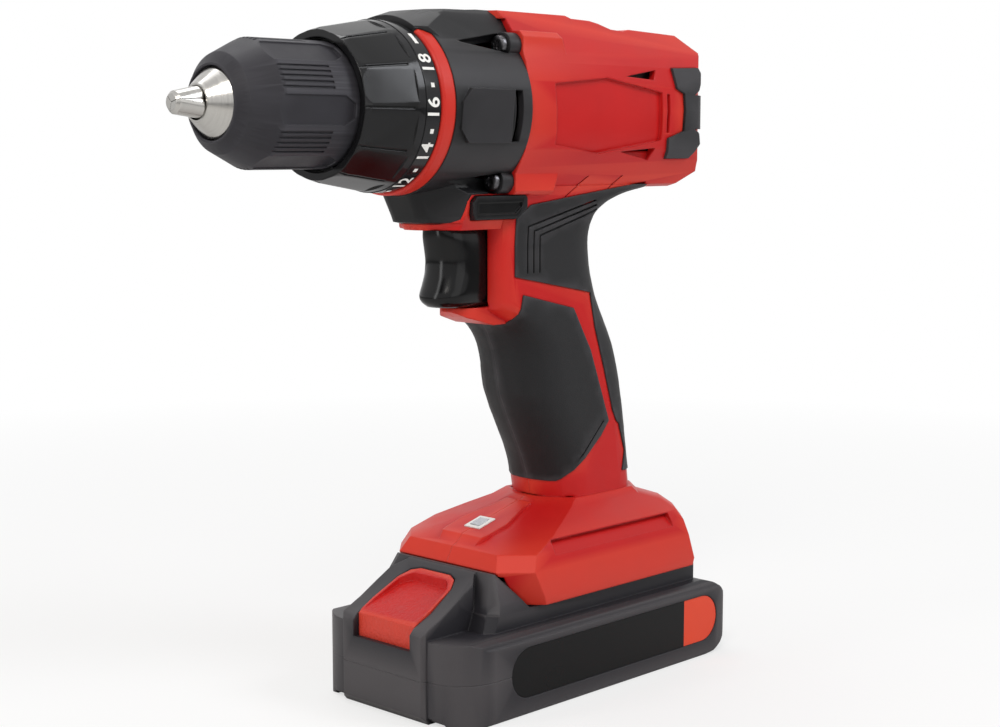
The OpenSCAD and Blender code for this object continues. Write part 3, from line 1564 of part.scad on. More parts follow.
// Front block with the ramp that holds the latch
module ramp_block() {
  intersection() {
    side_plate([[-battery_front, 2.8], [2.4 - battery_front, 0], [-18, 0], [-18, tier_top],
      [-20.3, rail_lip_z + 0.3],
      [-28.6, neck_top], [-30.5, neck_top - 0.3], [-50, battery_h + 7.2],
        [1.8 - battery_front, ramp_front_z + 2],
      [-battery_front, ramp_front_z]], -30, 30);
    linear_extrude(60)
    polygon([[-battery_front, 1.2 - ramp_half], [1.2 - battery_front, -ramp_half], [-43, -ramp_half],
      [-35.5, -20.8],
      [-31, -17], [-18, -17], [-18, 17], [-31, 17], [-35.5, 20.8], [-43, ramp_half],
        [1.2 - battery_front, ramp_half],
      [-battery_front, ramp_half - 1.2]]);
  }
}

// Neck between the slab and the foot's slanted front
module neck() {
  rows = [[battery_h - 1, -38.5, -14, 28.3, tier_half], [tier_top, -35.4, -17.6, 27.5, tier_half],
    [rail_lip_z + 0.3, -33.9, -20.3, 26, tier_half - 1.6], [neck_top, -29.8, -28.6, 22.6, 24.5]];
  loft([for (w = rows) let (xf = w[1], xr = max(w[2], w[1] + 0.9), k = min(3, xr - xf - 0.4), front = w[3],
    side = w[4])
    [[xf, -front, w[0]], [xf + k, -side, w[0]], [xr, -side, w[0]], [xr, side, w[0]],
      [xf + k, side, w[0]], [xf, front, w[0]]]]);
}

module latch_plan(gap) {
  linear_extrude(60)
  polygon([[-battery_front - 1, -14 - gap], [-50, -14.4 - gap], [-39, -13.4 - gap], [-35 + gap, -11 - gap],
    [-33.4 + gap, -7.4], [-33.4 + gap, 7.4], [-35 + gap, 11 + gap], [-39, 13.4 + gap], [-50, 14.4 + gap],
    [-battery_front - 1, 14 + gap]]);
}

latch_travel = 3;
latch_z0 = battery_h - 7.6;
latch_sill_z = battery_h - 4.4;
latch_set_back = 2.4;

module latch_pocket() {
  intersection() {
    union() {
      block([-battery_front - 2, -20, latch_sill_z], [-30, 20, 60]);
      block([latch_set_back - slide_gap - battery_front, -20, latch_z0 - latch_travel - 0.4], [-30, 20, 60]);
    }
    latch_plan(0.4);
  }
}

module battery_latch() {
  color(red)
  difference() {
    intersection() {
      side_plate([[latch_set_back - battery_front, latch_z0],
        [latch_set_back - battery_front, ramp_front_z + 2.2],
        [latch_set_back + 1.6 - battery_front, ramp_front_z + 3.6], [-33.4, neck_top - 2.2],
          [-33.4, latch_z0 + 10],
        [-44, latch_z0]], -20, 20);
      latch_plan(0);
    }
    // dished thumb surface
    intersection() {
      side_plate([[latch_set_back + 1.6 - battery_front, ramp_front_z + 3.6], [-36, neck_top - 6.4],
        [-35, 60],
        [-60, 60]], -20, 20);
      translate([-1, 0, 0]) latch_plan(-1.1);
    }
  }
}

module cell_at(k) {
  translate([battery_rear - pill_r - 2 - (cell_r * 2 + 0.6) * k, 0, pill_r]) rotate([90, 0, 0]) children();
}

module battery_tower() {
  difference() {
    union() {
      block([-24, -stem_half, tier_top - 1], [tower_x1, stem_half, flange_z0 + 1]);
      block([-24, -flange_half, flange_z0], [tower_x1, flange_half, flange_z1]);
    }
    for (y = blade_spots)
      block([terminal_x0 - 2, y - 1.5, flange_z0], [tower_x1 + 1, y + 1.5, bay_top]);
    // behind the foot's slanted front
    side_plate([[-30, foot_z], [-21.4, foot_z], [-24, flange_z1 - 1.4], [-24, 60], [-30, 60]], -40, 40);
  }
}

module battery_shell() {
  battery_slab(0);
  // tier under the foot
  translate([0, 0, battery_h - 1])
  linear_extrude(tier_top - battery_h + 1)
  polygon([[-36, -27], [-33, -tier_half], [foot_rear - 3, -tier_half], [foot_rear, 3 - tier_half],
    [foot_rear, tier_half - 3],
    [foot_rear - 3, tier_half], [-33, tier_half], [-36, 27]]);
  neck();
  ramp_block();
  battery_tower();
}

module battery_hollow() {
  battery_slab(-battery_wall);
}

module battery_details() {
  latch_pocket();
  mirror_both_sides() {
    // label recess
    translate([0, 0.4 - battery_w / 2, 0])
    rotate([90, 0, 0])
    linear_extrude(2)
    polygon(concat(arc2([-25, pill_r + 0.5], 9, 90, 270, 12), arc2([72, pill_r + 0.5], 9, -90, 90, 12)));
    // notch and groove beside the front block
    block([-56.5, -ramp_half - 7, -1], [-52.5, -ramp_half, 4]);
  }
}

module battery_half(z0, z1) {
  difference() {
    intersection() {
      difference() {
        battery_shell();
        battery_hollow();
      }
      block([-80, -60, z0], [110, 60, z1]);
    }
    battery_details();
  }
}

module battery_upper() {
  color("#38383b") battery_half(case_seam, 80);
}

module battery_lower() {
  color("#38383b") battery_half(-1, case_seam);
}

module battery_cells() {
  for (k = [0:cell_count - 1]) cell_at(k) {
    color("#2f6f8f") cylinder(r = cell_r, h = cell_len, center = true);
  }
}

// Spring clips that grip the blades
module battery_contacts() {
  leg = 0.5;
  color(brass)
  for (y = blade_spots) {
    for (s = [-1, 1])
      block([terminal_x0, y + s * 1.2 - leg / 2, flange_z0], [terminal_x0 + 10, y + s * 1.2 + leg / 2,
        flange_z1 - 0.5]);
    block([terminal_x0, y - 1.2 - leg / 2, flange_z0], [terminal_x0 + 10, y + 1.2 + leg / 2,
      flange_z0 + 0.5]);
  }
}

// ---------- nodes ----------

housing_left();
housing_right();
housing_screws();
grip_left();
grip_right();
rear_bumper();
gear_cover();
cover_screws();
accent_ring();
torque_collar();
scale_ring();
chuck_sleeve();
chuck_nut();
chuck_body();
jaw(0);  // jaw_1
jaw(1);  // jaw_2
jaw(2);  // jaw_3
chuck_screw();
spindle();
spindle_bushes();
lock_ring();
lock_rollers();
gear_case();
clutch_nut();
clutch_spring();
clutch_washer();
clutch_pins();
ring_gear_1();
shift_ring();
shift_wire();
ring_gear_3();
carrier_1();
carrier_2();
carrier_3();
planet(planet1_x0, planet1_x1, 0);  // planet_1a
planet(planet1_x0, planet1_x1, 1);  // planet_1b
planet(planet1_x0, planet1_x1, 2);  // planet_1c
planet(planet2_x0, planet2_x1, 0);  // planet_2a
planet(planet2_x0, planet2_x1, 1);  // planet_2b
planet(planet2_x0, planet2_x1, 2);  // planet_2c
planet(planet3_x0, planet3_x1, 0);  // planet_3a
planet(planet3_x0, planet3_x1, 1);  // planet_3b
planet(planet3_x0, planet3_x1, 2);  // planet_3c
motor_can();
motor_plate();
rotor();
motor_pinion();
brush_cap();
trigger();
switch_module();
direction_slider();
speed_selector();
led_module();
terminal_block();
wire_harness();
battery_upper();
battery_lower();
battery_cells();
battery_latch();
battery_contacts();
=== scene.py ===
import json
import math

import bmesh
import bpy
from mathutils import Matrix, Vector
from mathutils.kdtree import KDTree


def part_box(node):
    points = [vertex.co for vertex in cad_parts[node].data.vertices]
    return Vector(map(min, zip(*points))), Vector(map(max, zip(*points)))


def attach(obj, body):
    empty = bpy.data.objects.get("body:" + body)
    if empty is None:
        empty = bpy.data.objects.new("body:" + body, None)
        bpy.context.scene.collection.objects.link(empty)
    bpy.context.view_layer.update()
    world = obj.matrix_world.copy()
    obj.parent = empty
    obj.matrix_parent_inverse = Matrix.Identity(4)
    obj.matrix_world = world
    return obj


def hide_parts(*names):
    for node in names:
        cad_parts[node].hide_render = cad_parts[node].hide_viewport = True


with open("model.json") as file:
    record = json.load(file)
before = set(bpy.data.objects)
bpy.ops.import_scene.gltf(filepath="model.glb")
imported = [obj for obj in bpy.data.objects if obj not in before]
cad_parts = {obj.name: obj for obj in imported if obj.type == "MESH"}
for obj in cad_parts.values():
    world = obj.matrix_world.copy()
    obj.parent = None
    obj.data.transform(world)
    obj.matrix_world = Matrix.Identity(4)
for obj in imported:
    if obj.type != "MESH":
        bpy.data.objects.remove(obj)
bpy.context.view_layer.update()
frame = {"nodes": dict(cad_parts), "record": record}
nodes = frame["nodes"]
scene = bpy.context.scene
mm = 0.001
weld = 0.002       # mm, closest points of a CAD mesh that are taken as one
flatAngle = 0.6    # degrees, faces that turn less than this are joined into one
axisZ = (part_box("scale_ring")[0].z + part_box("scale_ring")[1].z) / 2  # height of the drill axis
print("frame loaded:", len(nodes), "nodes")


# Colours, nodes and objects

def linear(colour):
    values = [int(colour[i:i + 2], 16) / 255 for i in (0, 2, 4)]
    return [v / 12.92 if v <= 0.04045 else ((v + 0.055) / 1.055) ** 2.4 for v in values] + [1.0]


def addNode(tree, kind, settings=None, links=None):
    node = tree.nodes.new(kind)
    for key, value in (settings or {}).items():
        if isinstance(key, int) or key in node.inputs:
            node.inputs[key].default_value = value
        else:
            setattr(node, key, value)
    for socket, source in (links or {}).items():
        tree.links.new(source, node.inputs[socket])
    return node


def newMaterial(name):
    material = bpy.data.materials.new(name)
    material.use_nodes = True
    material.node_tree.nodes.clear()
    return material, material.node_tree


def newObject(name, mesh):
    piece = bpy.data.objects.new(name, mesh)
    scene.collection.objects.link(piece)
    return piece


def meshFrom(bm, name):
    mesh = bpy.data.meshes.new(name)
    bm.to_mesh(mesh)
    bm.free()
    return mesh


def mergedNode(name):
    # a CAD node's loose triangles, joined at their corners
    bm = bmesh.new()
    bm.from_mesh(nodes[name].data)
    bmesh.ops.remove_doubles(bm, verts=bm.verts, dist=weld * mm)
    return bm


def joinFlats(bm):
    bmesh.ops.dissolve_limit(bm, angle_limit=math.radians(flatAngle), verts=bm.verts, edges=bm.edges)


def shadeSoft(bm, crease):
    # soft shading, broken where the surface turns by the crease angle or more
    for face in bm.faces:
        face.smooth = True
    for edge in bm.edges:
        edge.smooth = edge.calc_face_angle(0.0) < math.radians(crease)


def secondSide(bm):
    # gives flat faces a thickness, and returns the points that are still to be moved
    grown = bmesh.ops.extrude_face_region(bm, geom=bm.faces[:])["geom"]
    return [v for v in grown if isinstance(v, bmesh.types.BMVert)]


def place(axial, angle, radius):
    # a point beside the drill axis; angle 0 is the left side and 90 the top
    a = math.radians(angle)
    return Vector((axial * mm, -radius * mm * math.cos(a), axisZ + radius * mm * math.sin(a)))


# Materials: grain, cloud, depth and round are sizes in mm, and so is a metal's pitch

def mouldedPlastic(name, look):
    material, tree = newMaterial(name)
    coords = addNode(tree, "ShaderNodeTexCoord")
    inMm = addNode(tree, "ShaderNodeMapping", {"Scale": (1 / mm, 1 / mm, 1 / mm)},
                   {"Vector": coords.outputs["Object"]})
    grain = addNode(tree, "ShaderNodeTexNoise", {"Scale": 1 / look["grain"], "Detail": 3.0, "Roughness": 0.6},
                    {"Vector": inMm.outputs[0]})
    cloud = addNode(tree, "ShaderNodeTexNoise", {"Scale": 1 / look["cloud"], "Detail": 2.0},
                    {"Vector": inMm.outputs[0]})
    tone = addNode(tree, "ShaderNodeMix",
                   {"data_type": "RGBA", 6: linear(look["shade"]), 7: linear(look["colour"])},
                   {"Factor": cloud.outputs["Fac"]})
    # painted highlight: edges are mixed towards a lighter colour, as if they caught a little more light, as the
    # gloss of a mould's corner does
    shape = addNode(tree, "ShaderNodeNewGeometry")
    edge = addNode(tree, "ShaderNodeMapRange",
                   {"From Min": 0.51, "From Max": 0.6, "To Max": look.get("edge", 0.12)},
                   {"Value": shape.outputs["Pointiness"]})
    paintedEdgeLight = addNode(tree, "ShaderNodeMix", {"data_type": "RGBA", 7: linear(look.get("paintedEdgeColour", "d8d2ce"))},
                   {"Factor": edge.outputs[0], 6: tone.outputs[2]})
    rough = addNode(tree, "ShaderNodeMapRange",
                    {"From Min": 0.3, "From Max": 0.7, "To Min": look["rough"] - 0.04,
                     "To Max": look["rough"] + 0.05}, {"Value": cloud.outputs["Fac"]})
    rounded = addNode(tree, "ShaderNodeBevel", {"samples": 6, "Radius": look.get("round", 0.5) * mm})
    bump = addNode(tree, "ShaderNodeBump", {"Strength": look["bump"], "Distance": look["depth"] * mm},
                   {"Height": grain.outputs["Fac"], "Normal": rounded.outputs[0]})
    shader = addNode(tree, "ShaderNodeBsdfPrincipled",
                     {"IOR": 1.5, "Specular IOR Level": look.get("gloss", 0.2),
                      "Coat Weight": look.get("coat", 0.0), "Coat Roughness": 0.1,
                      "Sheen Weight": look.get("sheen", 0.0), "Sheen Roughness": 0.6},
                     {"Base Color": paintedEdgeLight.outputs[2], "Roughness": rough.outputs[0], "Normal": bump.outputs[0]})
    addNode(tree, "ShaderNodeOutputMaterial", {}, {"Surface": shader.outputs[0]})
    return material


def turnedMetal(name, look):
    material, tree = newMaterial(name)
    coords = addNode(tree, "ShaderNodeTexCoord")
    inMm = addNode(tree, "ShaderNodeMapping", {"Scale": [share / mm for share in look["stretch"]]},
                   {"Vector": coords.outputs["Object"]})
    lines = addNode(tree, "ShaderNodeTexNoise", {"Scale": 1 / look["pitch"], "Detail": 3.0, "Roughness": 0.65},
                    {"Vector": inMm.outputs[0]})
    tone = addNode(tree, "ShaderNodeMix",
                   {"data_type": "RGBA", 6: linear(look["shade"]), 7: linear(look["colour"])},
                   {"Factor": lines.outputs["Fac"]})
    rough = addNode(tree, "ShaderNodeMapRange",
                    {"From Min": 0.3, "From Max": 0.7, "To Min": look["rough"] - 0.06,
                     "To Max": look["rough"] + 0.08}, {"Value": lines.outputs["Fac"]})
    rounded = addNode(tree, "ShaderNodeBevel", {"samples": 4, "Radius": 0.25 * mm})
    bump = addNode(tree, "ShaderNodeBump", {"Strength": look["bump"], "Distance": 0.02 * mm},
                   {"Height": lines.outputs["Fac"], "Normal": rounded.outputs[0]})
    shader = addNode(tree, "ShaderNodeBsdfPrincipled", {"Metallic": 1.0},
                     {"Base Color": tone.outputs[2], "Roughness": rough.outputs[0], "Normal": bump.outputs[0]})
    addNode(tree, "ShaderNodeOutputMaterial", {}, {"Surface": shader.outputs[0]})
    return material


# the edge colour and edge amount of each look give a painted highlight along its edges
materials = {
    # moulded ABS with a spark-eroded skin: an even red, with a painted orange highlight along its edges where
    # light would graze it
    "redAbs": mouldedPlastic("redAbs", {
        "colour": "c01a1a", "shade": "b31717", "paintedEdgeColour": "e2523a", "edge": 0.4, "grain": 0.22, "cloud": 14,
        "rough": 0.36, "bump": 0.35, "depth": 0.03, "round": 0.8}),
    # thermoplastic rubber over the handle: dark grey, dull, with a fine open grain
    "gripRubber": mouldedPlastic("gripRubber", {
        "colour": "19191b", "shade": "131315", "paintedEdgeColour": "6c6a6e", "edge": 0.2, "grain": 0.45, "cloud": 9,
        "rough": 0.56, "bump": 0.8, "depth": 0.08, "sheen": 0.05, "round": 0.6}),
    # glass-filled nylon of the gear cover: nearly black with a satin skin
    "coverNylon": mouldedPlastic("coverNylon", {
        "colour": "141416", "shade": "0f0f10", "paintedEdgeColour": "6a686c", "edge": 0.15, "grain": 0.3, "cloud": 11,
        "rough": 0.36, "bump": 0.4, "depth": 0.03, "round": 0.6}),
    # polished black ABS of the collar, trigger and slider: deep black with sharp lights
    "polishedBlack": mouldedPlastic("polishedBlack", {
        "colour": "080809", "shade": "060607", "paintedEdgeColour": "77777c", "edge": 0.06, "grain": 1.4, "cloud": 12,
        "rough": 0.14, "bump": 0.12, "depth": 0.01, "gloss": 0.24, "round": 0.5}),
    # the sleeve's matt grey polyamide, a shade lighter than the cover
    "sleevePolyamide": mouldedPlastic("sleevePolyamide", {
        "colour": "2f2e33", "shade": "28272b", "paintedEdgeColour": "7c7b82", "edge": 0.22, "grain": 0.25, "cloud": 8,
        "rough": 0.5, "bump": 0.6, "depth": 0.04, "round": 0.6}),
    # battery case of ABS blend with a coarser erosion than the tool
    "caseAbs": mouldedPlastic("caseAbs", {
        "colour": "29282c", "shade": "232226", "paintedEdgeColour": "7f7a7b", "edge": 0.25, "grain": 0.4, "cloud": 13,
        "rough": 0.42, "bump": 0.7, "depth": 0.05, "round": 0.8}),
    # latch of red ABS with a leather-like erosion, drawn coarse enough to show
    "latchAbs": mouldedPlastic("latchAbs", {
        "colour": "c4201d", "shade": "b01514", "paintedEdgeColour": "e4644c", "edge": 0.35, "grain": 1.3, "cloud": 6,
        "rough": 0.34, "bump": 1.0, "depth": 0.34, "round": 0.6}),
    # printed vinyl of the blank labels, smooth and glossy
    "labelVinyl": mouldedPlastic("labelVinyl", {
        "colour": "080809", "shade": "0d0d0e", "edge": 0.0, "grain": 2.0, "cloud": 20, "rough": 0.3, "bump": 0.1,
        "depth": 0.01, "gloss": 0.15, "round": 0.2}),
    "labelOrange": mouldedPlastic("labelOrange", {
        "colour": "e2421c", "shade": "d83a18", "edge": 0.0, "grain": 2.0, "cloud": 20, "rough": 0.3, "bump": 0.1,
        "depth": 0.01, "coat": 0.2, "round": 0.2}),
    # pad-printed figures: chalky white ink
    "figureInk": mouldedPlastic("figureInk", {
        "colour": "f2f2ee", "shade": "e6e6e2", "edge": 0.0, "grain": 0.3, "cloud": 3, "rough": 0.6, "bump": 0.2,
        "depth": 0.01, "round": 0.05}),
    # painted shade: a black sheet that stands in for the dark inside behind the vents
    "paintedShadeBlack": mouldedPlastic("paintedShadeBlack", {
        "colour": "08080a", "shade": "050506", "grain": 0.4, "cloud": 6, "rough": 0.9, "bump": 0.1, "depth": 0.05,
        "gloss": 0.0}),
    # plain moulded nylon of the inner parts, half matt
    "darkNylon": mouldedPlastic("darkNylon", {
        "colour": "2a2b2e", "shade": "242528", "grain": 0.3, "cloud": 8, "rough": 0.5, "bump": 0.5,
        "depth": 0.03}),
    "greyNylon": mouldedPlastic("greyNylon", {
        "colour": "6d6e70", "shade": "626366", "grain": 0.35, "cloud": 8, "rough": 0.5, "bump": 0.5,
        "depth": 0.03}),
    # white polycarbonate round the work light, smooth enough to send the light forwards
    "lightBezel": mouldedPlastic("lightBezel", {
        "colour": "e9e8e4", "shade": "dddcd8", "grain": 0.4, "cloud": 4, "rough": 0.2, "bump": 0.1, "depth": 0.01,
        "round": 0.2}),
    # clear acrylic lens over the chip: seen as pale grey with sharp lights on its ribs
    "lensAcrylic": mouldedPlastic("lensAcrylic", {
        "colour": "c4c6ca", "shade": "a9abb0", "edge": 0.0, "grain": 1.0, "cloud": 2.0, "rough": 0.08,
        "bump": 0.05, "depth": 0.01, "gloss": 0.6, "round": 0.1}),
    # PVC of the wires: dark red and a little waxy
    "wireSleeve": mouldedPlastic("wireSleeve", {
        "colour": "9a1518", "shade": "8a1114", "grain": 0.5, "cloud": 6, "rough": 0.45, "bump": 0.2,
        "depth": 0.02, "round": 0.1}),
    # shrink film round the cells: blue with a clear gloss over it
    "cellSleeve": mouldedPlastic("cellSleeve", {
        "colour": "2f6f8f", "shade": "286480", "grain": 0.6, "cloud": 9, "rough": 0.3, "bump": 0.2, "depth": 0.02,
        "coat": 0.3}),
    # turned and ground steel: fine rings across the axis
    "turnedSteel": turnedMetal("turnedSteel", {
        "colour": "bdbbb7", "shade": "a3a19d", "stretch": (1, 0.04, 0.04), "pitch": 0.35, "rough": 0.2,
        "bump": 0.12}),
    # hardened gear steel, tumbled: grey and even
    "gearSteel": turnedMetal("gearSteel", {
        "colour": "b3b2b0", "shade": "8e8d8b", "stretch": (1, 1, 1), "pitch": 0.5, "rough": 0.34, "bump": 0.4}),
    # blackened screws: dark, with a dull shine on the heads
    "blackOxide": turnedMetal("blackOxide", {
        "colour": "6e6d70", "shade": "454446", "stretch": (1, 1, 1), "pitch": 0.6, "rough": 0.32, "bump": 0.4}),
    # drawn steel can of the motor, darkened as painted shade for what shows through the vents, with faint lines
    # along it
    "motorSteel": turnedMetal("motorSteel", {
        "colour": "2c2c2e", "shade": "1e1e20", "stretch": (0.1, 1, 1), "pitch": 0.6, "rough": 0.35,
        "bump": 0.3}),
    # pressed bronze powder: warm, open and dull
    "sinterBronze": turnedMetal("sinterBronze", {
        "colour": "b98a4a", "shade": "8f6a38", "stretch": (1, 1, 1), "pitch": 0.25, "rough": 0.45, "bump": 0.8}),
    # enamelled copper wire of the rotor, lying along it
    "copperWinding": turnedMetal("copperWinding", {
        "colour": "c0703a", "shade": "8a4a24", "stretch": (0.1, 1, 1), "pitch": 0.5, "rough": 0.35, "bump": 0.8}),
}

finishes = {
    "redAbs": ["housing_left", "housing_right", "accent_ring"],
    "gripRubber": ["grip_left", "grip_right", "rear_bumper"],
    "coverNylon": ["gear_cover", "speed_selector"],
    "polishedBlack": ["torque_collar", "scale_ring", "direction_slider", "trigger"],
    "sleevePolyamide": ["chuck_sleeve"],
    "caseAbs": ["battery_upper", "battery_lower"],
    "latchAbs": ["battery_latch"],
    "lightBezel": ["led_module"],
    "darkNylon": ["brush_cap", "switch_module", "terminal_block"],
    "greyNylon": ["gear_case", "clutch_nut"],
    "wireSleeve": ["wire_harness"],
    "cellSleeve": ["battery_cells"],
    "turnedSteel": ["chuck_body", "jaw_1", "jaw_2", "jaw_3", "chuck_nut", "spindle"],
    "blackOxide": ["cover_screws", "housing_screws", "chuck_screw"],
    "motorSteel": ["motor_can", "motor_plate"],
    "sinterBronze": ["spindle_bushes", "battery_contacts"],
    "copperWinding": ["rotor"],
}
nodeFinish = {n: m for m, names in finishes.items() for n in names}
for name, node in nodes.items():
    node.data.materials.clear()
    node.data.materials.append(materials[nodeFinish.get(name, "gearSteel")])
print("materials:", len(materials))


def finishPiece(piece, body, material, slot, *replaced):
    if material:
        piece.data.materials.clear()
        piece.data.materials.append(material)
    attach(piece, body)
    if replaced:
        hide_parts(*replaced)


def plainMesh(piece):
    # turns what the modifiers make into the piece's own mesh
    bpy.context.view_layer.update()
    evaluated = piece.evaluated_get(bpy.context.evaluated_depsgraph_get())
    mesh = bpy.data.meshes.new_from_object(evaluated)
    piece.modifiers.clear()
    piece.data = mesh
    return piece


# Dressed copies of the moulded pieces: whole surfaces with soft shading and true corners

nodeBody = {n: body for body, names in frame["record"]["behaviour"]["bodies"].items() for n in names}
nodeSlot = {part["node"]: part["material_slot"] for part in frame["record"]["subparts"]}
creases = {
    # node: sharpest angle, in degrees, that still shades as one surface
    "housing_left": 26, "housing_right": 26, "rear_bumper": 26, "gear_cover": 26, "accent_ring": 30,
    "torque_collar": 20, "scale_ring": 30, "chuck_sleeve": 24, "chuck_body": 20, "jaw_1": 20, "jaw_2": 20,
    "jaw_3": 20, "direction_slider": 26, "speed_selector": 26, "battery_upper": 26, "battery_lower": 26,
    "battery_latch": 30,
}


def dressNode(name, piece):
    # a finished piece that takes the place of a CAD node, with that node's body and finish
    finishPiece(piece, nodeBody[name], materials[nodeFinish[name]], nodeSlot[name], name)


for name, crease in creases.items():
    bm = mergedNode(name)
    joinFlats(bm)
    shadeSoft(bm, crease)
    piece = newObject(name + "Dressed", meshFrom(bm, name + "Dressed"))
    even = piece.modifiers.new("even", "WEIGHTED_NORMAL")
    even.keep_sharp = True
    dressNode(name, plainMesh(piece))
print("dressed copies:", len(creases))


# Soft grips: the rubber is sculpted between its edges, with a shallow rest for the thumb

grip = {"step": 3.0, "offset": 0.37, "snap": 0.02, "crease": 34, "fade": 5.0, "rounds": 6, "pull": 0.5,
        "sideways": 0.15, "forwards": 0.75,    # how far a surface faces the side or the front to be sculpted
        "rest": (-14.0, 120.5), "restSize": (15.0, 8.5), "restDepth": 0.9,
        "swell": (-22.0, 98.0), "swellSize": (13.0, 15.0), "swellHeight": 0.35}


def hump(point, middle, size):
    # 1 at the middle, seen from the side, and falling off smoothly over the size
    return math.exp(-((point.x / mm - middle[0]) / size[0]) ** 2 - ((point.z / mm - middle[1]) / size[1]) ** 2)


def sliced(bm, low, high):
    # cuts the surface into cells of one step, so that it has points to move
    for axis in range(3):
        normal = [float(axis == i) for i in range(3)]
        for k in range(1, int((high[axis] - low[axis]) / (grip["step"] * mm)) + 1):
            at = Vector((0, 0, 0))
            at[axis] = low[axis] + (k - grip["offset"]) * grip["step"] * mm
            bmesh.ops.bisect_plane(bm, geom=bm.verts[:] + bm.edges[:] + bm.faces[:], plane_co=at,
                                   plane_no=normal, dist=grip["snap"] * mm)
    bmesh.ops.triangulate(bm, faces=[f for f in bm.faces if len(f.verts) > 4])
    bm.normal_update()


def freedom(bm, sharp, side):
    # 0 at the sharp edges and on the inside, up to 1 in the open surface
    rim = list({v for e in sharp for v in e.verts})
    tree = KDTree(len(rim))
    for i, v in enumerate(rim):
        tree.insert(v.co, i)
    tree.balance()
    share = {}
    for v in bm.verts:
        outward = v.normal.y * side > grip["sideways"] or v.normal.x < -grip["forwards"]
        reach = tree.find(v.co)[2] / (grip["fade"] * mm)
        share[v] = min(reach, 1.0) if outward else 0.0
    return {v: free for v, free in share.items() if free}


def sculptedGrip(name, side):
    bm = mergedNode(name)
    joinFlats(bm)
    sliced(bm, *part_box(name))
    sharp = {e for e in bm.edges if e.calc_face_angle(0.0) > math.radians(grip["crease"])}
    share = freedom(bm, sharp, side)
    for _ in range(grip["rounds"]):
        # each free point moves towards the middle of its neighbours
        moved = {}
        for v, free in share.items():
            near = [e.other_vert(v).co for e in v.link_edges]
            moved[v] = v.co.lerp(sum(near, Vector()) / len(near), grip["pull"] * free)
        for v, co in moved.items():
            v.co = co
    bm.normal_update()
    for v, normal, free in [(v, v.normal.copy(), free) for v, free in share.items()]:
        push = (grip["swellHeight"] * hump(v.co, grip["swell"], grip["swellSize"])
                - grip["restDepth"] * hump(v.co, grip["rest"], grip["restSize"]))
        v.co += normal * push * free * mm
    for face in bm.faces:
        face.smooth = True
    for edge in bm.edges:
        edge.smooth = edge not in sharp
    dressNode(name, newObject(name + "Dressed", meshFrom(bm, name + "Dressed")))


sculptedGrip("grip_left", -1)
sculptedGrip("grip_right", 1)
print("soft grips")


# Geometry trees

def newTree(name, inputs):
    # a tree and its named inputs
    tree = bpy.data.node_groups.new(name, "GeometryNodeTree")
    tree.is_modifier = True
    tree.interface.new_socket("Geometry", in_out="OUTPUT", socket_type="NodeSocketGeometry")
    for word, kind in inputs.items():
        tree.interface.new_socket(word, in_out="INPUT", socket_type="NodeSocket" + kind)
    return tree, addNode(tree, "NodeGroupInput").outputs


def endTree(tree, shape, finish):
    # makes the copies real and gives them their finish
    real = addNode(tree, "GeometryNodeRealizeInstances", {}, {0: shape})
    done = addNode(tree, "GeometryNodeSetMaterial", {}, {"Geometry": real.outputs[0], "Material": finish})
    addNode(tree, "NodeGroupOutput", {}, {0: done.outputs[0]})
    return tree


def grow(name, tree, values, base=None):
    # runs a geometry tree on a new object and keeps the result as a plain mesh
    piece = newObject(name, base or bpy.data.meshes.new(name))
    modifier = piece.modifiers.new("grow", "NODES")
    modifier.node_group = tree
    ids = {s.name: s.identifier for s in tree.interface.items_tree if s.in_out == "INPUT"}
    for key, value in values.items():
        modifier[ids[key]] = value
    return plainMesh(piece)


# Figures and dots on the torque band, from the highest figure near the top down to 2; angles in degrees

band = {"figureHeight": 5.1, "first": 28.0, "step": 15.0, "count": 18, "lift": 0.06, "axial": -60.3,
        "sizeToHeight": 1.38, "spacing": 1.08, "bold": 0.13, "inkHalf": 0.03, "ink": 0.06, "dot": 1.5,
        "markAngle": 49.0, "markLength": 5.0, "markWidth": 1.5, "markSteps": 8}
bandRadius = (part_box("scale_ring")[1].z - axisZ) / mm


def wrapped(flat, axial, angle, radius):
    # bends a flat mesh round the band: its x runs round the axis, its y towards the chuck
    for v in flat.vertices:
        turn = angle + math.degrees(v.co.x / (radius * mm))
        v.co = place(axial - v.co.y / mm, turn, radius + v.co.z / mm)
    return flat


def figure(text, angle):
    curve = bpy.data.curves.new("figure" + text, "FONT")
    curve.body = text
    curve.size = band["figureHeight"] * mm * band["sizeToHeight"]    # the font's size for digits this high
    curve.align_x = "CENTER"
    curve.align_y = "CENTER"
    curve.extrude = band["inkHalf"] * mm
    curve.offset = band["bold"] * mm
    curve.space_character = band["spacing"]
    holder = newObject("figure" + text, curve)
    bpy.context.view_layer.update()
    mesh = bpy.data.meshes.new_from_object(holder.evaluated_get(bpy.context.evaluated_depsgraph_get()))
    bpy.data.objects.remove(holder)
    return wrapped(mesh, band["axial"], angle, bandRadius + band["lift"])


def joined(name, meshes):
    bm = bmesh.new()
    for mesh in meshes:
        bm.from_mesh(mesh)
        bpy.data.meshes.remove(mesh)
    return meshFrom(bm, name)


evenNumbers = range(2, band["count"] + 1, 2)
figures = newObject("bandFigures", joined("bandFigures", [
    figure(str(n), band["first"] - band["step"] * (band["count"] - n)) for n in evenNumbers]))
finishPiece(figures, "collar", materials["figureInk"], "band")


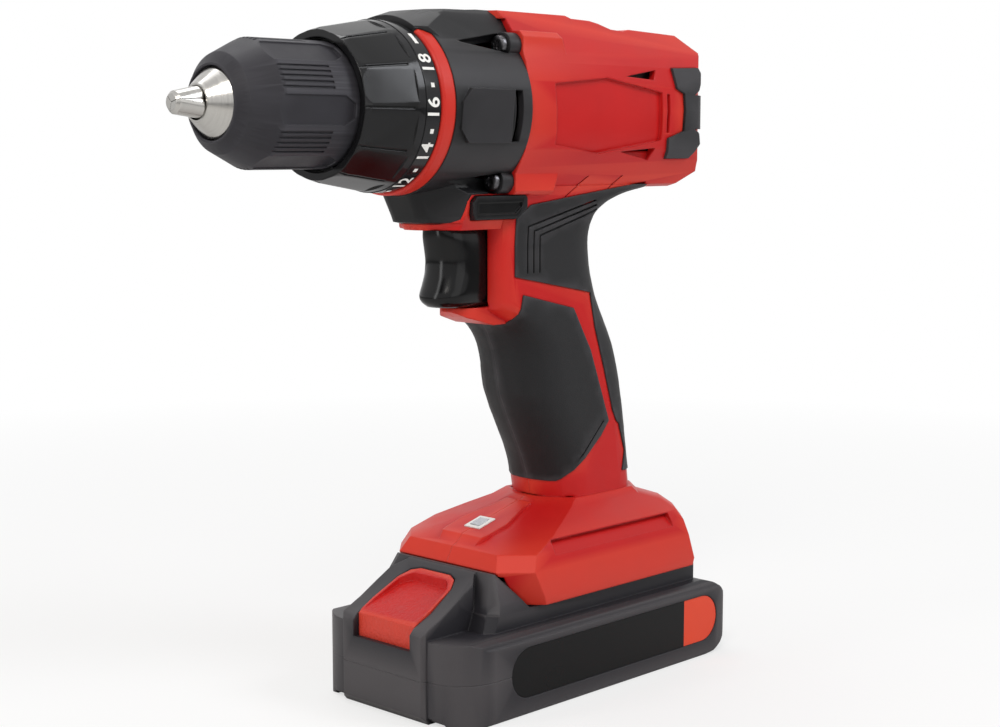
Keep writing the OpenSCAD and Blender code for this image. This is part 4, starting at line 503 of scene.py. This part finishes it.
def dotTree():
    # small printed blocks spaced round the band, between the figures
    tree, given = newTree("dotsRoundBand", {
        "Count": "Int", "Radius": "Float", "Axial": "Float", "Height": "Float", "First Angle": "Float",
        "Step Angle": "Float", "Size": "Float", "Thickness": "Float", "Ink": "Material"})
    line = addNode(tree, "GeometryNodeMeshLine", {}, {"Count": given["Count"]})
    index = addNode(tree, "GeometryNodeInputIndex")
    turned = addNode(tree, "ShaderNodeMath", {"operation": "MULTIPLY"},
                     {0: index.outputs[0], 1: given["Step Angle"]})
    angle = addNode(tree, "ShaderNodeMath", {"operation": "SUBTRACT"},
                    {0: given["First Angle"], 1: turned.outputs[0]})
    across = addNode(tree, "ShaderNodeMath", {"operation": "COSINE"}, {0: angle.outputs[0]})
    up = addNode(tree, "ShaderNodeMath", {"operation": "SINE"}, {0: angle.outputs[0]})
    left = addNode(tree, "ShaderNodeMath", {"operation": "MULTIPLY"},
                   {0: across.outputs[0], 1: given["Radius"]})
    y = addNode(tree, "ShaderNodeMath", {"operation": "MULTIPLY", 1: -1.0}, {0: left.outputs[0]})
    z = addNode(tree, "ShaderNodeMath", {"operation": "MULTIPLY_ADD"},
                {0: up.outputs[0], 1: given["Radius"], 2: given["Height"]})
    at = addNode(tree, "ShaderNodeCombineXYZ", {}, {0: given["Axial"], 1: y.outputs[0], 2: z.outputs[0]})
    put = addNode(tree, "GeometryNodeSetPosition", {}, {"Geometry": line.outputs[0], "Position": at.outputs[0]})
    size = addNode(tree, "ShaderNodeCombineXYZ", {},
                   {0: given["Size"], 1: given["Thickness"], 2: given["Size"]})
    block = addNode(tree, "GeometryNodeMeshCube", {}, {"Size": size.outputs[0]})
    spin = addNode(tree, "ShaderNodeMath", {"operation": "MULTIPLY", 1: -1.0}, {0: angle.outputs[0]})
    turn = addNode(tree, "ShaderNodeCombineXYZ", {}, {0: spin.outputs[0]})
    blocks = addNode(tree, "GeometryNodeInstanceOnPoints", {},
                     {"Points": put.outputs[0], "Instance": block.outputs["Mesh"], "Rotation": turn.outputs[0]})
    return endTree(tree, blocks.outputs[0], given["Ink"])


dots = grow("bandDots", dotTree(), {
    "Count": len(evenNumbers), "Radius": (bandRadius + band["lift"]) * mm, "Axial": band["axial"] * mm,
    "Height": axisZ, "First Angle": math.radians(band["first"] - band["step"]),
    "Step Angle": math.radians(2 * band["step"]),
    "Size": band["dot"] * mm, "Thickness": band["ink"] * mm, "Ink": materials["figureInk"]})
finishPiece(dots, "collar", None, "band")

# the mark for drilling is a bar across the band, in short steps so that it follows the curve
bm = bmesh.new()
bmesh.ops.create_grid(bm, x_segments=band["markSteps"], y_segments=1, size=0.5)
bmesh.ops.translate(bm, vec=(0, 0, 1), verts=secondSide(bm))
bmesh.ops.recalc_face_normals(bm, faces=bm.faces[:])
markSize = (band["markLength"] * mm, band["markWidth"] * mm, band["ink"] * mm)
for v in bm.verts:
    v.co = Vector(c * size for c, size in zip(v.co, markSize))
mark = newObject("drillMark", wrapped(meshFrom(bm, "drillMark"), band["axial"], band["markAngle"],
                                      bandRadius + band["lift"]))
finishPiece(mark, "collar", materials["figureInk"], "band")
print("torque band figures")


# Trigger: a hollow-fronted finger rest lofted through smooth stations

trigger = {"nose": 10.5, "noseSteps": 40, "fullness": 0.8, "rearCorner": 1.2, "cornerSteps": 4, "depth": 27.1,
           "stem": (4.0, 14.0), "stemSides": 24, "rings": 48, "rounds": 6, "crease": 50,
           # share of the height, how far the front lies back, how much narrower each side is
           "stations": [(0.0, 2.6, 2.4), (0.03, 1.2, 1.1), (0.09, 0.1, 0.2), (0.16, 0.2, 0.0), (0.27, 1.5, 0.0),
                        (0.43, 3.0, 0.0), (0.60, 3.4, 0.0), (0.77, 2.6, 0.0), (0.91, 1.9, 0.1),
                        (1.0, 1.8, 0.6)]}


def stationAt(rows, t, column):
    for one, two in zip(rows, rows[1:]):
        if t <= two[0]:
            return one[column] + (two[column] - one[column]) * (t - one[0]) / (two[0] - one[0])


def softened(values):
    for _ in range(trigger["rounds"]):
        inner = [(a + 2 * b + c) / 4 for a, b, c in zip(values, values[1:], values[2:])]
        values = values[:1] + inner + values[-1:]
    return values


def triggerPlan(front, rear, half):
    # rounded nose and small rear corners, seen from above
    points = []
    steps, power = trigger["noseSteps"], trigger["fullness"]
    for k in range(steps + 1):
        a = math.pi / 2 + math.pi * k / steps
        c, d = math.cos(a), math.sin(a)
        points.append((front + trigger["nose"] * (1 - abs(c) ** power),
                       half * math.copysign(abs(d) ** power, d)))
    r, steps = trigger["rearCorner"], trigger["cornerSteps"]
    for sign, start in ((-1, 270), (1, 0)):
        for k in range(steps + 1):
            a = math.radians(start + 90 * k / steps)
            points.append((rear - r + r * math.cos(a), sign * (half - r) + r * math.sin(a)))
    return points


low, high = (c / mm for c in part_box("trigger"))
bm = bmesh.new()
shares = [k / trigger["rings"] for k in range(trigger["rings"] + 1)]
insets = [softened([stationAt(trigger["stations"], t, column) for t in shares]) for column in (1, 2)]
rings = []
for t, forward, inset in zip(shares, *insets):
    plan = triggerPlan(low.x + forward, low.x + trigger["depth"], high.y - inset)
    rings.append([bm.verts.new((x * mm, y * mm, (low.z + t * (high.z - low.z)) * mm)) for x, y in plan])
for lower, upper in zip(rings, rings[1:]):
    for i in range(len(lower)):
        j = (i + 1) % len(lower)
        bm.faces.new((lower[i], lower[j], upper[j], upper[i]))
bm.faces.new(rings[0][::-1])
bm.faces.new(rings[-1])
radius, length = trigger["stem"]
stemPlace = Matrix.Translation((high.x * mm - length * mm / 2, 0, (low.z + high.z) / 2 * mm))
bmesh.ops.create_cone(bm, cap_ends=True, segments=trigger["stemSides"], radius1=radius * mm,
                      radius2=radius * mm, depth=length * mm,
                      matrix=stemPlace @ Matrix.Rotation(math.pi / 2, 4, "Y"))
shadeSoft(bm, trigger["crease"])
bmesh.ops.recalc_face_normals(bm, faces=bm.faces[:])
dressNode("trigger", newObject("triggerDressed", meshFrom(bm, "triggerDressed")))
print("trigger")


# Painted shade: dark sheets behind the side vents stand in for the shade inside the barrel, so that no daylight
# shows through it

shadeSheet = {"across": 22.0, "thick": 0.5, "dish": 1.2,
          # lowest and highest corner of each plate, along the drill and above its axis
          "plates": [((31.5, 8.5), (57.5, 16.5)), ((31.5, -17.0), (57.5, -9.5)), ((57.9, -9.0), (62.0, 7.5))]}
bm = bmesh.new()
for side in (-1, 1):
    for (x0, z0), (x1, z1) in shadeSheet["plates"]:
        plate = bmesh.ops.create_grid(bm, x_segments=2, y_segments=2, size=0.5)["verts"]
        for v in plate:
            across = shadeSheet["across"] - shadeSheet["dish"] * abs(v.co.x)    # the plate is dished a little
            v.co = Vector((x0 + (v.co.x + 0.5) * (x1 - x0), side * across,
                           axisZ / mm + z0 + (v.co.y + 0.5) * (z1 - z0))) * mm
for v in secondSide(bm):
    v.co.y -= math.copysign(shadeSheet["thick"] * mm, v.co.y)
bmesh.ops.recalc_face_normals(bm, faces=bm.faces[:])
finishPiece(newObject("ventBaffles", meshFrom(bm, "ventBaffles")), "tool", materials["paintedShadeBlack"],
            nodeSlot["brush_cap"])
print("vent baffles")


# Screws with six-lobed recesses, set at the places of the plain ones

screw = {"sides": 48, "lobes": 6, "crease": 32, "scatter": 1.0,
         # distance below the top of the head in mm, share of the head's radius, depth of the lobes
         "recess": [(-1.1, 0.30, 0.0), (-1.1, 0.42, 0.09), (0.0, 0.44, 0.1), (0.0, 0.78, 0.0),
                    (-0.25, 0.93, 0.0), (-0.8, 1.0, 0.0)],
         # heads face the chuck, at the low end of x, or the right side, at the high end of y
         "kinds": {"coverScrews": {"node": "cover_screws", "head": 3.15, "shaft": 1.9, "headDepth": 2.3,
                                   "along": 0, "headEnd": 0, "turn": (0.0, 0.0, math.pi)},
                   "housingScrews": {"node": "housing_screws", "head": 2.85, "shaft": 1.5, "headDepth": 2.1,
                                     "along": 1, "headEnd": 1, "turn": (0.0, 0.0, math.pi / 2)}}}


def screwMesh(head, shaft, headDepth, length):
    # turned about +X, the top of the head at x = 0
    thin = shaft / head
    rows = screw["recess"] + [(-headDepth, 1.0, 0.0), (-headDepth, thin, 0.0), (-length, thin, 0.0)]
    sides = screw["sides"]
    bm = bmesh.new()
    rings = []
    for x, share, lobe in rows:
        ring = []
        for k in range(sides):
            a = 2 * math.pi * k / sides
            r = head * (share + lobe * math.cos(screw["lobes"] * a))
            ring.append(bm.verts.new((x * mm, r * math.cos(a) * mm, r * math.sin(a) * mm)))
        rings.append(ring)
    for one, two in zip(rings, rings[1:]):
        for i in range(sides):
            j = (i + 1) % sides
            bm.faces.new((one[i], one[j], two[j], two[i]))
    bm.faces.new(rings[0])
    bm.faces.new(rings[-1])
    bmesh.ops.recalc_face_normals(bm, faces=bm.faces[:])
    shadeSoft(bm, screw["crease"])
    return meshFrom(bm, "screw")


def islandBoxes(name):
    # lowest and highest corner of each separate solid of a node
    bm = mergedNode(name)
    left, boxes = set(bm.verts), []
    while left:
        reach = [left.pop()]
        found = list(reach)
        while reach:
            for edge in reach.pop().link_edges:
                for v in edge.verts:
                    if v in left:
                        left.discard(v)
                        reach.append(v)
                        found.append(v)
        boxes.append([Vector(f(v.co[k] for v in found) for k in range(3)) for f in (min, max)])
    bm.free()
    return boxes


def fastenerTree():
    # one screw on each given point
    tree, given = newTree("screwOnPoints", {
        "Geometry": "Geometry", "Screw": "Object", "Turn": "Vector", "Scatter": "Float", "Finish": "Material"})
    source = addNode(tree, "GeometryNodeObjectInfo", {}, {"Object": given["Screw"]})
    # each screw stops at its own angle
    stop = addNode(tree, "FunctionNodeRandomValue", {"data_type": "FLOAT", "Seed": 5}, {3: given["Scatter"]})
    spin = addNode(tree, "ShaderNodeCombineXYZ", {}, {0: stop.outputs[1]})
    turn = addNode(tree, "ShaderNodeVectorMath", {"operation": "ADD"}, {0: given["Turn"], 1: spin.outputs[0]})
    placed = addNode(tree, "GeometryNodeInstanceOnPoints", {},
                     {"Points": given["Geometry"], "Instance": source.outputs["Geometry"],
                      "Rotation": turn.outputs[0]})
    return endTree(tree, placed.outputs[0], given["Finish"])


screwOnPoints = fastenerTree()
for name, kind in screw["kinds"].items():
    boxes = islandBoxes(kind["node"])
    along = kind["along"]
    seats = []
    for box in boxes:
        seat = (box[0] + box[1]) / 2
        seat[along] = box[kind["headEnd"]][along]
        seats.append(seat)
    length = (boxes[0][1][along] - boxes[0][0][along]) / mm
    pattern = newObject(name + "Pattern", screwMesh(kind["head"], kind["shaft"], kind["headDepth"], length))
    points = bpy.data.meshes.new(name)
    points.from_pydata(seats, [], [])
    placed = grow(name, screwOnPoints, {"Screw": pattern, "Turn": kind["turn"], "Scatter": screw["scatter"],
                                        "Finish": materials["blackOxide"]}, points)
    bpy.data.objects.remove(pattern)
    finishPiece(placed, "tool", None, nodeSlot[kind["node"]], kind["node"])
print("screws")


# Ribbed lens of the work light

lens = {"rise": 4.4, "run": 16, "size": (5.3, 4.5), "plate": 0.25, "ribs": 6, "rib": 0.34, "ribSides": 12,
        "bezelTop": 1.8, "up": 0.36}    # rise and run give the slope that it sits on


def ribTree():
    # a plate with a row of rounded ribs
    tree, given = newTree("ribsOnPlate", {
        "Width": "Float", "Depth": "Float", "Thickness": "Float", "Ribs": "Int", "Rib Radius": "Float",
        "Rib Sides": "Int", "Finish": "Material"})
    plateSize = addNode(tree, "ShaderNodeCombineXYZ", {},
                        {0: given["Width"], 1: given["Depth"], 2: given["Thickness"]})
    plate = addNode(tree, "GeometryNodeMeshCube", {}, {"Size": plateSize.outputs[0]})
    step = addNode(tree, "ShaderNodeMath", {"operation": "DIVIDE"}, {0: given["Depth"], 1: given["Ribs"]})
    gap = addNode(tree, "ShaderNodeCombineXYZ", {}, {1: step.outputs[0]})
    first = addNode(tree, "ShaderNodeMath", {"operation": "MULTIPLY", 1: 0.5}, {0: step.outputs[0]})
    edge = addNode(tree, "ShaderNodeMath", {"operation": "MULTIPLY", 1: -0.5}, {0: given["Depth"]})
    begin = addNode(tree, "ShaderNodeMath", {"operation": "ADD"}, {0: edge.outputs[0], 1: first.outputs[0]})
    half = addNode(tree, "ShaderNodeMath", {"operation": "MULTIPLY", 1: 0.5}, {0: given["Thickness"]})
    start = addNode(tree, "ShaderNodeCombineXYZ", {}, {1: begin.outputs[0], 2: half.outputs[0]})
    line = addNode(tree, "GeometryNodeMeshLine", {},
                   {"Count": given["Ribs"], "Start Location": start.outputs[0], "Offset": gap.outputs[0]})
    rod = addNode(tree, "GeometryNodeMeshCylinder", {},
                  {"Vertices": given["Rib Sides"], "Radius": given["Rib Radius"], "Depth": given["Width"]})
    rods = addNode(tree, "GeometryNodeInstanceOnPoints", {"Rotation": (0.0, math.pi / 2, 0.0)},
                   {"Points": line.outputs[0], "Instance": rod.outputs["Mesh"]})
    both = addNode(tree, "GeometryNodeJoinGeometry", {}, {0: plate.outputs["Mesh"]})
    tree.links.new(rods.outputs[0], both.inputs[0])
    return endTree(tree, both.outputs[0], given["Finish"])


low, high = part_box("led_module")
lean = Matrix.Rotation(-math.atan(lens["rise"] / lens["run"]), 4, "Y")
lightFace = (low + high) / 2 + lean @ Vector((0, 0, (lens["bezelTop"] + lens["up"]) * mm))
lightLens = grow("lightLens", ribTree(), {
    "Width": lens["size"][0] * mm, "Depth": lens["size"][1] * mm, "Thickness": lens["plate"] * mm,
    "Ribs": lens["ribs"], "Rib Radius": lens["rib"] * mm, "Rib Sides": lens["ribSides"],
    "Finish": materials["lensAcrylic"]})
lightLens.data.transform(Matrix.Translation(lightFace) @ lean)
finishPiece(lightLens, "tool", None, nodeSlot["led_module"])
print("work light")


# Blank labels on the battery

label = {"front": -25.0, "rear": 72.0, "radius": 8.8, "middle": 15.0, "orangeFrom": 61.0, "proud": 0.12,
         "face": 37.6, "arcStep": 10}    # arcStep in degrees


def stadium(name, side, x0, x1, roundFront, roundRear):
    # a flat bar with a half round or a square end at either side
    r = label["radius"]
    angles = [math.radians(a) for a in range(0, 181, label["arcStep"])]
    if roundFront:
        outline = [(x0 - r * math.sin(a), -r * math.cos(a)) for a in angles]
    else:
        outline = [(x0, -r), (x0, r)]
    if roundRear:
        outline += [(x1 + r * math.sin(a), r * math.cos(a)) for a in angles]
    else:
        outline += [(x1, r), (x1, -r)]
    bm = bmesh.new()
    y = side * label["face"]
    bm.faces.new([bm.verts.new((x * mm, y * mm, (label["middle"] + z) * mm)) for x, z in outline])
    bmesh.ops.translate(bm, vec=(0, side * label["proud"] * mm, 0), verts=secondSide(bm))
    bmesh.ops.recalc_face_normals(bm, faces=bm.faces[:])
    return newObject(name, meshFrom(bm, name))


for side, word in ((-1, "Left"), (1, "Right")):
    dark = stadium("label" + word, side, label["front"], label["orangeFrom"], True, False)
    finishPiece(dark, "battery", materials["labelVinyl"], "battery_plastic")
    bright = stadium("labelEnd" + word, side, label["orangeFrom"], label["rear"], False, True)
    finishPiece(bright, "battery", materials["labelOrange"], "battery_plastic")
print("battery labels")


# Floor, light and camera

studio = {
    # where a lamp hangs, what it aims at and its size in metres, its power in watts and its tint
    "key": ((-0.75, -0.55, 0.95), (0.0, 0, 0.14), (0.45, 0.45), 6.6, "fffaf4"),
    "side": ((0.45, -0.73, 0.80), (-0.07, -0.026, 0.18), (0.36, 0.5), 4.6, "f6f9ff"),
    "fill": ((-0.1, -1.3, 0.3), (0.0, 0, 0.1), (0.9, 0.5), 1.0, "ffffff"),
    "top": ((0.05, 0.35, 1.1), (0.0, 0, 0.15), (0.7, 0.5), 3.6, "ffffff"),
    "front": ((-1.0, 0.35, 0.4), (-0.05, 0, 0.17), (0.2, 0.9), 2.4, "ffffff"),
}
paleRoom = {"lightOnMatt": 0.26, "seen": 1.0, "floorSize": 6.0, "floorColour": "f4f4f3",
            "fadeFrom": 0.12, "fadeTo": 0.75, "glowNear": 0.62, "glowFar": 1.0}
view = {"lens": 63.31, "sensor": 36.0, "clip": (0.01, 50.0), "eye": (-0.4556, -0.4396, 0.1945),
        "aim": (-0.00052, 0.0, 0.1168)}


def aimed(holder, where, aim):
    holder.location = where
    holder.rotation_euler = (Vector(aim) - Vector(where)).to_track_quat("-Z", "Y").to_euler()
    scene.collection.objects.link(holder)


for name, (where, aim, size, power, colour) in studio.items():
    light = bpy.data.lights.new(name, "AREA")
    light.shape = "RECTANGLE"
    light.size, light.size_y = size
    light.energy = power
    light.color = linear(colour)[:3]
    aimed(bpy.data.objects.new(name, light), where, aim)

world = bpy.data.worlds.new("paleRoom")
scene.world = world
world.use_nodes = True
world.node_tree.nodes.clear()
rays = addNode(world.node_tree, "ShaderNodeLightPath")
backdrop = addNode(world.node_tree, "ShaderNodeMath", {"operation": "MAXIMUM"},
                   {0: rays.outputs["Is Camera Ray"], 1: rays.outputs["Is Transmission Ray"]})
seen = addNode(world.node_tree, "ShaderNodeMath", {"operation": "MAXIMUM"},
               {0: backdrop.outputs[0], 1: rays.outputs["Is Glossy Ray"]})
strength = addNode(world.node_tree, "ShaderNodeMapRange",
                   {"To Min": paleRoom["lightOnMatt"], "To Max": paleRoom["seen"]}, {"Value": seen.outputs[0]})
room = addNode(world.node_tree, "ShaderNodeBackground", {"Color": linear("ffffff")},
               {"Strength": strength.outputs[0]})
addNode(world.node_tree, "ShaderNodeOutputWorld", {}, {"Surface": room.outputs[0]})

bm = bmesh.new()
bmesh.ops.create_grid(bm, x_segments=1, y_segments=1, size=paleRoom["floorSize"])
floor = newObject("floor", meshFrom(bm, "floor"))
floorPaint, tree = newMaterial("paleFloor")
rays = addNode(tree, "ShaderNodeLightPath")
matt = addNode(tree, "ShaderNodeBsdfDiffuse", {"Color": linear(paleRoom["floorColour"])})
glow = addNode(tree, "ShaderNodeEmission", {"Color": linear("ffffff"), "Strength": 1.0})
# the floor keeps the object's shadow near it and fades into the white room further out
coords = addNode(tree, "ShaderNodeTexCoord")
away = addNode(tree, "ShaderNodeVectorMath", {"operation": "LENGTH"}, {0: coords.outputs["Object"]})
fade = addNode(tree, "ShaderNodeMapRange",
               {"From Min": paleRoom["fadeFrom"], "From Max": paleRoom["fadeTo"],
                "To Min": paleRoom["glowNear"], "To Max": paleRoom["glowFar"]},
               {"Value": away.outputs["Value"]})
share = addNode(tree, "ShaderNodeMath", {"operation": "MULTIPLY"},
                {0: rays.outputs["Is Camera Ray"], 1: fade.outputs[0]})
mixed = addNode(tree, "ShaderNodeMixShader", {}, {0: share.outputs[0], 1: matt.outputs[0], 2: glow.outputs[0]})
addNode(tree, "ShaderNodeOutputMaterial", {}, {"Surface": mixed.outputs[0]})
floor.data.materials.append(floorPaint)

camera = bpy.data.cameras.new("camera")
camera.lens = view["lens"]
camera.sensor_width = view["sensor"]
camera.clip_start, camera.clip_end = view["clip"]
scene.camera = bpy.data.objects.new("camera", camera)
aimed(scene.camera, view["eye"], view["aim"])
scene.view_settings.view_transform = "Standard"
print("studio")
